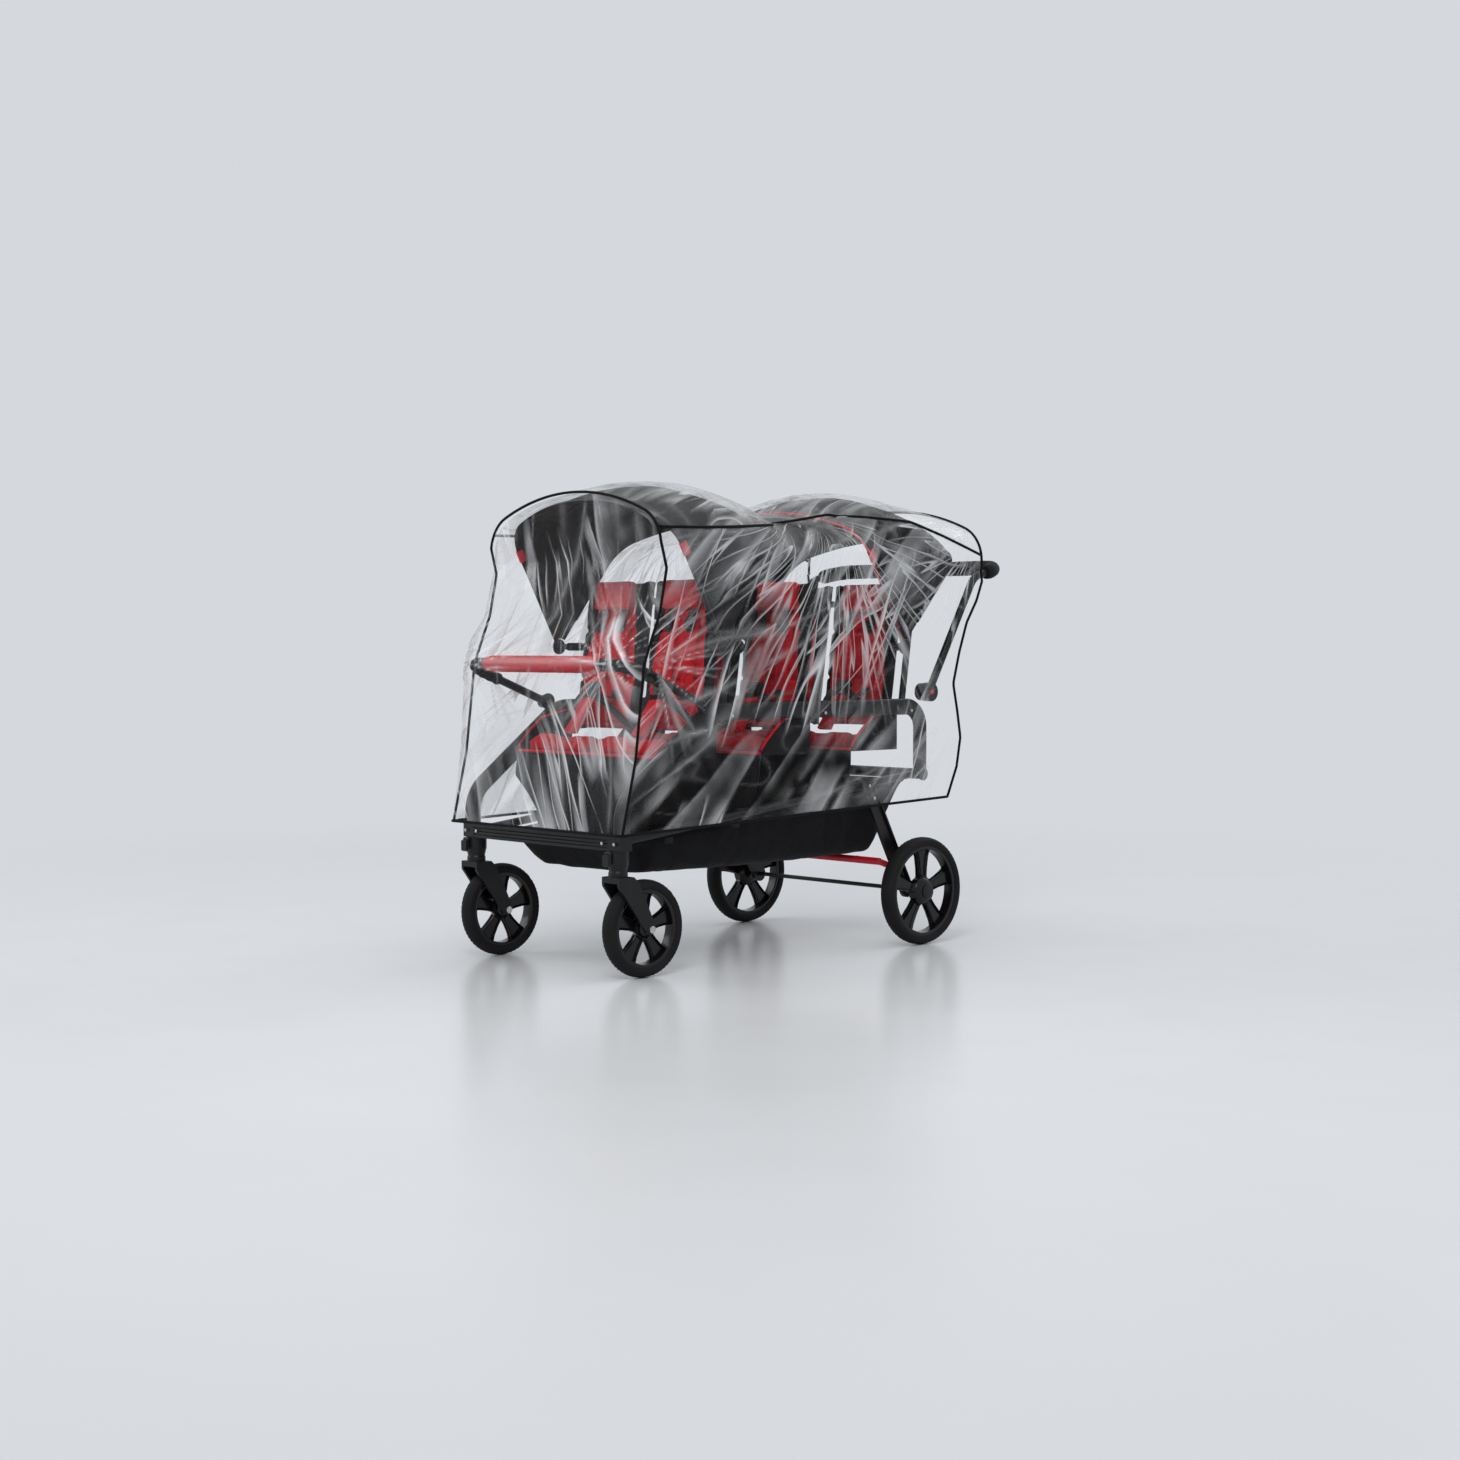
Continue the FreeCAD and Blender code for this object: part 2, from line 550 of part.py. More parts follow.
def lower_rails():
    """Two straight tubes that carry the basket, from the crossbar to the rear cross tube."""
    start = Vector(0, float(swivel_y), float(size("crossbar_z")))
    end = Vector(0, float(front_axle_y + size("cross_tube_y")), float(size("cross_tube_z")))
    across = RIGHT * float(rail_outer)
    bar_back = float(size("crossbar_depth") / 2 + size("seat_gap"))
    inside_bar = Part.makeBox(float(rail_outer * 2), bar_back * 2, float(size("crossbar_height") * 2),
                              start - across - Vector(0, bar_back, float(size("crossbar_height"))))
    rails = []
    for sign in (-1, 1):
        shift = RIGHT * (float(size("lower_rail_x")) * sign)
        rail = rod(start + shift, end + shift, size("lower_rail_d"))
        rails.append(rail.cut([inside_bar, rod(end - across, end + across, cross_tube_clear)]))
    plain("lower_rails", Part.makeCompound(rails))


def rear_cross_tube():
    """The tube across the back with a domed plug in each end."""
    y, z = front_axle_y + size("cross_tube_y"), size("cross_tube_z")
    half = rail_outer + size("seat_gap")
    body = new_body("rear_cross_tube")
    r, cap_r, cap = size("cross_tube_d") / 2, size("cap_d") / 2, size("cap_length")
    profile = outline(body, "cross_tube_half", "XY_Plane", [
        (-half - cap * 0.7, 0 * r), (half + cap * 0.7, 0 * r), (half + cap * 0.7, cap_r * 0.6),
        (half + cap * 0.35, cap_r), (half, cap_r), (half, r), (-half, r),
        (-half, cap_r), (-half - cap * 0.35, cap_r), (-half - cap * 0.7, cap_r * 0.6)])
    revolve(body, profile, "H_Axis")
    place(body, 0, y, z)


def rail_height(y):
    """Height of the lower rail's centre line at a distance behind the front axle."""
    run = size("cross_tube_y") + size("trail")
    return size("crossbar_z") + (size("cross_tube_z") - size("crossbar_z")) * ((y + size("trail")) / run)


def rear_leg(side):
    """A pressed channel with round ends and rivets, from the lower rail down to the axle."""
    sign = SIDES[side]
    top_y, top_z = size("leg_top_y"), rail_height(size("leg_top_y"))
    foot_y, foot_z = size("wheelbase"), rear_wheel_r
    head = Vector(0, float(top_y), float(top_z))
    foot = Vector(0, float(foot_y), float(foot_z))
    along = foot.sub(head)
    r = float(size("leg_width") / 2)
    thick = float(size("leg_thickness"))
    lip = float(size("leg_lip"))

    def stadium(radius, depth, start):
        bar = Part.makeBox(depth, radius * 2, along.Length, Vector(start, -radius, 0))
        bar = bar.fuse([Part.makeCylinder(radius, depth, Vector(start, 0, level), RIGHT)
                        for level in (0, along.Length)])
        angle = math.degrees(math.atan2(along.y, -along.z))
        bar.rotate(NOWHERE, RIGHT, 180 + angle)
        return moved(bar.removeSplitter(), 0, head.y, head.z)

    leg = stadium(r, thick, -thick / 2)
    hollow = stadium(r - lip, thick - lip, -thick / 2 if sign < 0 else -thick / 2 + lip)
    leg = leg.cut(hollow)
    for share in (0, 0.12, 1):
        at = head + along * share
        boss = Part.makeCylinder(r * 0.62, thick, Vector(-thick / 2, at.y, at.z), RIGHT)
        leg = leg.fuse(boss)
    hole = Part.makeCylinder(float(size("axle_d") / 2 + size("bearing_gap")), thick * 2,
                             Vector(-thick, foot.y, foot.z), RIGHT)
    leg = leg.removeSplitter().cut(hole)
    outer = thick / 2 * sign
    for share in (0, 0.12):
        at = head + along * share
        rivet = Part.makeCylinder(float(size("rivet_d") / 2), float(size("rivet_height")),
                                  Vector(outer, at.y, at.z), RIGHT * sign)
        leg = leg.fuse(rivet)
    pin_length = float(size("brake_arm") + size("side_gap") * 2)
    pivot = Vector(-outer, float(size("brake_pivot_y")), float(size("brake_pivot_z")))
    leg = leg.fuse(rod(pivot + RIGHT * thick * sign * 0.5, pivot - RIGHT * pin_length * sign, size("brake_pin_d")))
    plain("rear_leg_" + side, leg.removeSplitter(), leg_x * sign, front_axle_y, 0)


def rear_axle():
    """A plain rod through both legs, ending inside the wheels."""
    half = size("rear_track") / 2 + size("rear_tyre_width") * 0.4
    body = new_body("rear_axle")
    r = size("axle_d") / 2
    profile = outline(body, "axle_half", "XY_Plane", [
        (-half, 0 * r), (half, 0 * r), (half, r * 0.8), (half - r * 0.3, r), (-half + r * 0.3, r), (-half, r * 0.8)])
    revolve(body, profile, "H_Axis")
    place(body, 0, rear_axle_y, rear_wheel_r)


def seat_tubes():
    """Three cross tubes between the side frames, one under each seat row."""
    half = float(rail_inner)
    level = float(size("rail_z"))
    tubes = []
    for start in row_starts:
        y = float(start + size("back_y") + size("back_thickness") * 2.2)
        tubes.append(rod(Vector(-half, y, level), Vector(half, y, level), size("seat_tube_d")))
    plain("seat_cross_tubes", Part.makeCompound(tubes))


def basket():
    """An open-topped cloth basket with a raked nose and tail, hung between the lower rails."""
    wall, half = size("basket_wall"), size("basket_half")
    floor_z = size("basket_floor_z")
    front, rear = size("basket_front"), size("basket_rear")
    top_front = rail_height(front) - size("basket_rim_drop")
    top_rear = rail_height(rear) - size("basket_rim_drop")
    nose, tail = size("basket_nose"), size("basket_tail")

    def side_view(grow):
        g = float(grow)
        rise = float(top_rear) - float(top_front)
        points = [(float(front) + g, float(top_front)), (float(front + nose) + g * 0.7, float(floor_z) + g),
                  (float(rear - tail) - g * 0.7, float(floor_z) + g), (float(rear) - g, float(top_rear))]
        if g > 0:
            points = [(points[0][0], points[0][1] + rise), points[0], points[1], points[2], points[3],
                      (points[3][0], points[3][1] + rise)]
        line = [Vector(0, a, b) for a, b in points]
        return Part.Face(Part.makePolygon(line + line[:1]))

    outer = moved(side_view(0).extrude(RIGHT * float(half * 2)), -half)
    inner = moved(side_view(wall).extrude(RIGHT * float((half - wall) * 2)), -(half - wall))
    shell = outer.cut(inner)
    plain("basket", shell, 0, front_axle_y, 0)


def seat_row(number, row):
    """One row: cloth tub with its hanging footwell, two cushions, two backs on a bent frame."""
    start = row_starts[number]
    front, wall = size("seat_front"), size("tub_wall")
    half = rail_inner - size("seat_gap")
    depth = size("seat_depth")
    thick = size("pan_thickness")

    pan = Part.makeBox(float(half * 2), float(depth), float(thick), Vector(-float(half), 0, -float(thick)))
    side_points = [Vector(0, 0, 0), Vector(0, float(depth), 0),
                   Vector(0, float(depth) * 1.0, float(size("tub_side_height"))),
                   Vector(0, float(depth) * 0.45, float(size("tub_side_height")) * 0.8), Vector(0, 0, float(thick))]
    wing = Part.Face(Part.makePolygon(side_points + side_points[:1])).extrude(RIGHT * float(wall))
    tub = pan.fuse([moved(wing, -half), moved(wing, half - wall)])
    low, drop, slope = float(size("apron_low_half")), float(size("apron_drop")), float(size("apron_slope"))
    web = float(wall)

    def apron_ring(wide, level, forward):
        corners = [Vector(-wide, forward, level), Vector(wide, forward, level),
                   Vector(wide, forward + web, level), Vector(-wide, forward + web, level)]
        return Part.makePolygon(corners + corners[:1])

    rings = [apron_ring(float(half), -float(thick) * 0.5, 0), apron_ring(float(half), -drop * 0.3, -slope * 0.2),
             apron_ring(low, -drop, slope)]
    tub = tub.fuse(Part.makeLoft(rings, True, True)).removeSplitter()
    plain("seat_tub_" + row, tub, 0, start + front, size("seat_top_z") - size("cushion_height") * 0.5)

    gap = size("cushion_gap")
    inner_half = size("seat_half") - wall - size("back_gap")
    pad_width = inner_half - gap / 2
    pad_x = (inner_half + gap / 2) / 2
    base = size("seat_top_z") - size("cushion_height") * 0.5 + size("back_gap")
    seat = cushion(pad_width, depth - size("back_gap") * 2, size("cushion_height"), size("cushion_crown"),
                   size("cushion_inset"), size("cushion_corner"))
    seats = [moved(seat, pad_x * sign, depth / 2) for sign in (-1, 1)]
    plain("seat_cushions_" + row, Part.makeCompound(seats), 0, start + front, base)

    lean = float(size("back_lean"))
    back_z = size("seat_top_z") + size("cushion_height") + size("cushion_crown")
    height = size("back_height") * 0.98
    panel = cushion(pad_width, height, size("back_thickness") * 0.72, size("cushion_crown"), size("cushion_inset"),
                    size("cushion_corner"))
    groove_r = float(size("seam_depth"))
    surface = float(size("back_thickness") * 0.72 + size("cushion_crown"))
    for share in (-0.16, 0.16):
        groove = Part.makeCylinder(groove_r, float(pad_width) * 1.1,
                                   Vector(-float(pad_width) * 0.55, float(height) * share, surface + groove_r * 0.2),
                                   RIGHT)
        panel = panel.cut(groove)
    panel = turned(moved(panel, 0, height / 2), RIGHT, 90)
    panel = turned(panel, RIGHT, -lean)
    backs = [moved(panel, pad_x * sign) for sign in (-1, 1)]
    plain("back_pads_" + row, Part.makeCompound(backs), 0, start + size("back_y"), back_z)

    r = float(size("back_tube_d") / 2)
    tube_x = float(size("back_tube_x"))
    run = float(size("back_tube_top"))
    behind = r + float(size("back_gap"))
    foot_z = float(size("rail_z")) - float(back_z)
    lean_rise = Vector(0, math.sin(math.radians(lean)), math.cos(math.radians(lean)))
    offset = Vector(0, behind, 0)
    foot = offset + lean_rise * (foot_z / lean_rise.z)
    head = offset + lean_rise * (run + float(size("back_tube_d")))
    points = [Vector(-tube_x, 0, 0) + foot, Vector(-tube_x, 0, 0) + head, Vector(tube_x, 0, 0) + head,
              Vector(tube_x, 0, 0) + foot]
    bend = size("back_bend")
    frame = round_tube(points, [bend, bend], size("back_tube_d"))
    for sign in (-1, 1):
        ankle = foot + RIGHT * (tube_x * sign) + lean_rise * r
        frame = frame.fuse(rod(ankle, ankle + RIGHT * (float(half) - tube_x) * sign, size("back_tube_d") * 0.8))
    hinge = Vector(0, float(size("hood_hinge_y") - size("back_y")), float(size("hood_hinge_z") - back_z))
    pin_end = float(size("hood_half") + size("bow_gap") + size("bow_depth"))
    sheet_metal = float(size("hinge_plate"))
    for sign in (-1, 1) if row in HOOD_ROWS else ():
        reach = offset + lean_rise * (hinge.z / lean_rise.z)
        width = float(size("hinge_eye_d")) * 0.5
        plate_x = tube_x + r - sheet_metal
        corner_a = Vector(plate_x * sign, hinge.y, hinge.z)
        corner_b = Vector(plate_x * sign, reach.y, reach.z)
        plate = Part.makeBox(sheet_metal, corner_b.y - corner_a.y, width,
                             Vector(plate_x * sign - (sheet_metal if sign < 0 else 0), hinge.y, hinge.z - width / 2))
        eye = rod(corner_a, corner_a + RIGHT * sign * sheet_metal, size("hinge_eye_d") * 0.5)
        pin = rod(corner_a, Vector(pin_end * sign, hinge.y, hinge.z), size("hinge_pin_d"))
        frame = frame.fuse([plate, eye, pin])
    plain("back_frame_" + row, frame.removeSplitter(), 0, start + size("back_y"), back_z)


def harness():
    """Head pads, shoulder pads, crotch pads and buckles of all six seats."""
    half, wall, gap = size("seat_half"), size("tub_wall"), size("cushion_gap")
    inner_half = half - wall - size("back_gap")
    pad_x = (inner_half + gap / 2) / 2
    lean = float(size("back_lean"))
    shoulder = cushion(size("shoulder_width"), size("shoulder_length"), size("shoulder_depth") * 0.7,
                       size("shoulder_depth") * 0.3, size("shoulder_depth") * 0.13, size("shoulder_width") * 0.3)
    shoulder = turned(turned(shoulder, RIGHT, 90), RIGHT, -lean)
    crotch = cushion(size("crotch_width"), size("crotch_length"), size("crotch_depth") * 0.7,
                     size("crotch_depth") * 0.3, size("crotch_depth") * 0.2, size("crotch_width") * 0.3)
    crotch = turned(turned(moved(crotch, 0, size("crotch_length") / 2), RIGHT, 90), RIGHT, -float(size("crotch_lean")))
    buckle = Part.makeBox(float(size("buckle_width")), float(size("buckle_depth")), float(size("buckle_height")),
                          Vector(-float(size("buckle_width")) / 2, -float(size("buckle_depth")) / 2, 0))
    corners = [edge for edge in buckle.Edges if abs(edge.tangentAt(edge.FirstParameter).y) > 0.99]
    buckle = buckle.makeFillet(float(size("buckle_depth")) * 0.6, corners)
    buckle = turned(buckle, RIGHT, -float(size("crotch_lean")) * 0.6)
    head = cushion(size("head_pad_width"), size("head_pad_height"), size("head_pad_depth"), size("head_pad_crown"),
                   size("cushion_inset") * 0.5, size("cushion_corner") * 0.5)
    head = turned(turned(head, RIGHT, 90), RIGHT, -lean)
    shoulders, crotches, buckles, heads = [], [], [], []
    back_z = size("seat_top_z") + size("cushion_height") + size("cushion_crown")
    proud = size("back_thickness") * 0.72 + size("cushion_crown") + size("back_gap")
    slant = math.tan(math.radians(lean))
    seat_level = size("seat_top_z") + size("cushion_height") * 0.5 + size("cushion_crown") + size("back_gap") * 2
    for start in row_starts:
        for sign in (-1, 1):
            centre = pad_x * sign
            middle_z = size("shoulder_top_z") - size("shoulder_length") / 2
            y = start + size("back_y") + (middle_z - back_z) * slant - proud / math.cos(math.radians(lean))
            for hand in (-0.5, 0.5):
                shoulders.append(moved(shoulder, centre + size("shoulder_spread") * hand, y, middle_z))
            heads.append(moved(head, centre, y + (size("head_pad_z") - middle_z) * slant, size("head_pad_z")))
            foot_y = start + size("seat_front") + size("seat_depth") * 0.3
            crotches.append(moved(crotch, centre, foot_y, seat_level + size("crotch_depth") * 0.6))
            top = math.radians(float(size("crotch_lean")))
            rise = size("crotch_length") * math.cos(top) + size("crotch_depth")
            ahead = size("crotch_length") * math.sin(top)
            buckles.append(moved(buckle, centre, foot_y + ahead + size("buckle_depth") * 0.1, seat_level + rise))
    plain("head_pads", Part.makeCompound(heads))
    plain("shoulder_pads", Part.makeCompound(shoulders))
    plain("crotch_pads", Part.makeCompound(crotches))
    plain("harness_buckles", Part.makeCompound(buckles))


def hood(row, number):
    """A hood in two nested halves about its hinge pins, with a flat bow at the leading edge."""
    cloth, gap = size("hood_cloth"), size("hood_gap")
    corner, slope = size("hood_corner"), size("hood_slope")
    pin_hole_d = size("hinge_pin_d") + size("bearing_gap") * 2
    place_y, place_z = row_starts[number] + size("hood_hinge_y"), size("hood_hinge_z")

    def gore(shrink, first, last):
        section = Part.Face(arch_band(size("hood_half") - shrink, size("hood_crown") - shrink, corner - shrink, slope,
                                      size("hinge_eye_d") / 2 + gap, cloth))
        section.rotate(NOWHERE, RIGHT, float(first))
        return section.revolve(NOWHERE, RIGHT, float(last - first))

    leading = gore(0 * cloth, size("hood_split"), size("hood_lead_tilt"))
    plain(row + "_hood_leading_cloth", leading, 0, place_y, place_z)

    inside = cloth + gap
    half = float(size("hood_half") - inside)
    trailing = gore(inside, -size(row + "_hood_trail"), size("hood_split") + size("hood_lap"))
    eyes = [rod(RIGHT * ((half - float(cloth)) * sign), RIGHT * (half * sign), size("hinge_eye_d") + gap * 4)
            for sign in (-1, 1)]
    hole = rod(RIGHT * -(half * 2), RIGHT * (half * 2), pin_hole_d)
    plain(row + "_hood_trailing_cloth", trailing.fuse(eyes).cut(hole).removeSplitter(), 0, place_y, place_z)

    wide, deep, stand = size("bow_width"), size("bow_depth"), size("bow_gap") + size("bow_depth")
    outer_half = float(size("hood_half") + stand)
    ring = Part.Face(arch_band(size("hood_half") + stand, size("hood_crown") + stand, corner + stand, slope, 0 * deep,
                               deep))
    bow = moved(ring.extrude(REARWARD * float(wide)), 0, -wide / 2)
    for sign in (-1, 1):
        bow = bow.fuse(rod(RIGHT * (outer_half * sign), RIGHT * ((outer_half - float(deep)) * sign),
                           size("hinge_eye_d")))
    bow = bow.cut(rod(RIGHT * -(outer_half * 2), RIGHT * (outer_half * 2), pin_hole_d))
    bow = turned(bow.removeSplitter(), RIGHT, size("hood_lead_tilt") - size("hood_split"))
    plain(row + "_hood_bow", bow, 0, place_y, place_z)


def bumper():
    """A U-shaped bar on two pins at the rails, with a padded red grip across the front."""
    x, hinge_y, hinge_z = size("bumper_x"), size("bumper_hinge_y"), size("bumper_hinge_z")
    reach = size("bumper_front") + hinge_y
    rise = size("bumper_z") - hinge_z
    r = size("bumper_d") / 2
    right = float(x)
    points = [Vector(-right, 0, 0), Vector(-right, -float(reach), float(rise)), Vector(right, -float(reach), float(rise)),
              Vector(right, 0, 0)]
    bar = round_tube(points, [size("bumper_bend")] * 2, size("bumper_d"))
    eye_half = float(r + size("eye_lip"))
    eyes = []
    for sign in (-1, 1):
        eyes.append(rod(RIGHT * ((right - eye_half) * sign), RIGHT * ((right + eye_half) * sign), size("bumper_eye_d")))
    hole = rod(Vector(-right * 2, 0, 0), Vector(right * 2, 0, 0), size("bumper_pin_d") + size("bearing_gap") * 2)
    bar = bar.fuse(eyes).cut(hole).removeSplitter()
    plain("bumper_bar", bar, 0, front_axle_y + hinge_y, hinge_z)

    half = size("bumper_grip_half")
    grip = new_body("bumper_grip")
    grip_r = size("bumper_grip_d") / 2
    profile = outline(grip, "bumper_grip_half", "XY_Plane", [
        (-half, r), (half, r), (half, grip_r * 0.86), (half - grip_r * 0.5, grip_r), (-half + grip_r * 0.5, grip_r),
        (-half, grip_r * 0.86)])
    revolve(grip, profile, "H_Axis")
    place(grip, 0, front_axle_y - size("bumper_front"), size("bumper_z"))

    rail_face = float(rail_outer)
    plate_end = right - eye_half - float(size("side_gap"))
    sockets = []
    for sign in (-1, 1):
        plate = rod(Vector(rail_face * sign, 0, 0), Vector(plate_end * sign, 0, 0), size("socket_d"))
        pin = rod(Vector(plate_end * sign, 0, 0), Vector((right + float(r)) * sign, 0, 0), size("bumper_pin_d"))
        sockets.append(plate.fuse(pin))
    plain("bumper_sockets", Part.makeCompound(sockets), 0, front_axle_y + hinge_y, hinge_z)


def handle():
    """The push handle: two hinge discs, a bent bar, a foam grip and two release buttons."""
    x, r = float(size("handle_x")), float(size("handle_d") / 2)
    hinge_y, hinge_z = size("handle_hinge_y"), size("handle_hinge_z")
    knee = Vector(0, float(size("handle_knee_y") - hinge_y), float(size("handle_knee_z") - hinge_z))
    end = Vector(0, float(size("handle_reach") - hinge_y), float(size("handle_z") - hinge_z))
    left = Vector(-x, 0, 0)
    right = Vector(x, 0, 0)
    points = [left, left + knee, left + end, right + end, right + knee, right]
    knee_r, corner_r = size("handle_knee_bend"), size("handle_corner_bend")
    bar = round_tube(points, [knee_r, corner_r, corner_r, knee_r], size("handle_d"))
    rail_face = float(rail_outer)
    disc_in = rail_face + float(size("side_gap"))
    disc_out = x + r + float(size("eye_lip"))
    discs = []
    for sign in (-1, 1):
        discs.append(rod(Vector(disc_in * sign, 0, 0), Vector(disc_out * sign, 0, 0), size("handle_disc_d")))
    pin_d = size("handle_pin_d")
    bore = rod(Vector(-x * 2, 0, 0), Vector(x * 2, 0, 0), pin_d + size("bearing_gap") * 2)
    plain("handle_bar", bar.fuse(discs).cut(bore).removeSplitter(), 0, front_axle_y + hinge_y, hinge_z)

    cover_path = [left + knee + (end - knee) * 0.42, left + end, right + end, right + knee + (end - knee) * 0.42]
    foam = round_tube(cover_path, [corner_r, corner_r], size("grip_d"))
    core = round_tube(points, [knee_r, corner_r, corner_r, knee_r], size("handle_d"))
    plain("handle_grip", foam.cut(core), 0, front_axle_y + hinge_y, hinge_z)

    plates = []
    thick = float(size("frame_thickness"))
    pin_end = disc_out - float(size("button_seat") * 2 + size("button_travel"))
    for sign in (-1, 1):
        ear = rod(Vector((rail_face - thick) * sign, 0, 0), Vector(rail_face * sign, 0, 0), size("handle_disc_d") * 0.92)
        pin = rod(Vector(rail_face * sign, 0, 0), Vector(pin_end * sign, 0, 0), pin_d)
        plates.append(ear.fuse(pin))
    joints = Part.makeCompound(plates)
    frames = [item.Shape for item in finished if item.Label.startswith("side_frame_")]
    joints.translate(Vector(0, float(front_axle_y + hinge_y), float(hinge_z)))
    joints = Part.makeCompound([solid for solid in joints.cut(frames).Solids])
    plain("handle_joints", joints)

    for side, sign in SIDES.items():
        button = new_body("handle_button_" + side)
        deep = size("button_seat") + size("button_travel") * 1.05
        edge = pin_d / 2 - size("button_gap")
        profile = outline(button, button.Name + "_half", "XY_Plane", [
            (0 * deep, 0 * deep), (deep, 0 * deep), (deep, edge * 0.7), (deep * 0.84, edge), (0 * deep, edge)])
        revolve(button, profile, "H_Axis")
        button.Placement = FreeCAD.Placement(NOWHERE, Rotation(UP, 0 if sign > 0 else 180))
        outside = size("handle_x") + size("handle_d") / 2 + size("eye_lip") - size("button_seat")
        place(button, outside * sign, front_axle_y + hinge_y, hinge_z)


def brake():
    """The red foot bar across the stroller, on two arms pinned inside the rear legs."""
    half = float(size("brake_half"))
    arm = float(size("brake_arm"))
    leg_face = float(leg_inner)
    reach, rise = float(size("brake_reach")), float(size("brake_rise"))
    bar = rod(Vector(-half, -reach, rise), Vector(half, -reach, rise), size("brake_bar_d"))
    for sign in (-1, 1):
        out = leg_face - float(size("side_gap"))
        eye = rod(Vector((out - arm) * sign, 0, 0), Vector(out * sign, 0, 0), size("brake_eye_d"))
        tip = rod(Vector((out - arm) * sign, -reach, rise), Vector(out * sign, -reach, rise), size("brake_bar_d"))
        length = math.hypot(reach, rise)
        web = Part.makeBox(arm, length, float(size("brake_eye_d")) * 0.7,
                           Vector((out - arm) if sign > 0 else -out, -length, -float(size("brake_eye_d")) * 0.35))
        web.rotate(NOWHERE, RIGHT, -math.degrees(math.atan2(rise, reach)))
        link = rod(Vector(half * sign, -reach, rise), Vector((out - arm) * sign, -reach, rise), size("brake_bar_d"))
        bar = bar.fuse([eye, tip, web, link])
    bore = rod(Vector(-half * 2, 0, 0), Vector(half * 2, 0, 0), size("brake_pin_d") + size("bearing_gap") * 2)
    plain("brake_bar", bar.cut(bore).removeSplitter(), 0, front_axle_y + size("brake_pivot_y"), size("brake_pivot_z"))


def cover_side(side):
    """A flat clear side panel of the rain cover, with its raked front edge and stepped rear edge."""
    sign = SIDES[side]
    gap = size("cover_seam_gap")
    body = new_body("rain_cover_" + side)
    front_edge = [(size(level + "_corner") - size(level + "_forward") + gap, size(level + "_z"))
                  for level in COVER_LEVELS]
    front_edge[-1] = (front_edge[-1][0], size("brow_z") - gap)
    points = front_edge[::-1] + [
        (size("cover_rear_hem_y") * 0.5, (size("hem_z") + size("cover_rear_hem_z")) / 2),
        (size("cover_rear_hem_y"), size("cover_rear_hem_z")),
        (size("cover_rear_waist_y"), size("cover_rear_waist_z")),
        (size("cover_rear_top_y"), size("cover_rear_top_z")),
        (size("cover_rear_top_y") - size("cover_tail_lap"), size("brow_z") - gap)]
    shape = outline(body, body.Name + "_edge", "YZ_Plane", points)
    pad(body, shape, size("cover_film"), reverse=sign < 0)
    place(body, size("cover_half") * sign, front_axle_y, 0)


def cover_crest(y):
    """Height of the roof's middle: clear of both hood bows through their whole swing."""
    away = min(abs(float(y - hinge)) for hinge in hood_hinges)
    rise = math.sqrt(max(float(hood_reach) ** 2 - away ** 2, 0))
    lowest = size("cover_brow_crest") if y < hood_hinges[0] else size("cover_valley_z")
    return max(float(size("hood_hinge_z") + size("cover_slack") + size("cover_film")) + rise, float(lowest))


def brow_inset(y):
    """How far the cover's rounded front edge has drawn in at a distance behind the front axle."""
    corner = float(size("brow_corner"))
    ahead = corner - float(size("brow_forward")) - float(y)
    return corner - math.sqrt(corner ** 2 - ahead ** 2) if ahead > 0 else 0.0


def cover_arch(y, crest, inset):
    """The roof's outline at one place, as runs closed along the seam."""
    half = size("cover_half") + size("cover_film") - inset
    runs = arch_runs(half, crest - inset, size("cover_corner") - inset, size("hood_slope"), size("brow_z"))
    runs.append((runs[-1][-1], runs[0][0]))
    wire = Part.Wire(drawn(runs))
    wire.translate(REARWARD * float(y))
    return wire


def cover_roof():
    """The clear roof: a rounded brow, a hump over each hood, a valley between and a falling tail."""
    face = float(size("cover_film") + size("cover_seam_gap") - size("brow_forward"))
    corner = float(size("brow_corner") - size("brow_forward"))
    quarter = float(size("row_pitch") / 4)
    first_hinge, last_hinge = [float(hinge) for hinge in hood_hinges]
    steps = [face, face + (corner - face) * 0.3, corner]
    steps += [first_hinge + quarter * count for count in (-1, 0, 1, 2, 3)]
    steps += [last_hinge + quarter * count for count in (-3, -2, -1, 0, 1)]
    tail = float(size("cover_rear_top_y") - size("cover_tail_lap"))
    crests = [cover_crest(y) for y in steps]
    steps.append(tail)
    crests.append(cover_crest(last_hinge + quarter) - float(size("cover_tail_drop")))

    def block(film):
        rings = [cover_arch(y, crest, brow_inset(y) + float(film)) for y, crest in zip(steps, crests)]
        return Part.makeLoft(rings, True, True)

    plain("rain_cover_roof", block(0 * corner).cut(block(size("cover_film"))), 0, front_axle_y, 0)


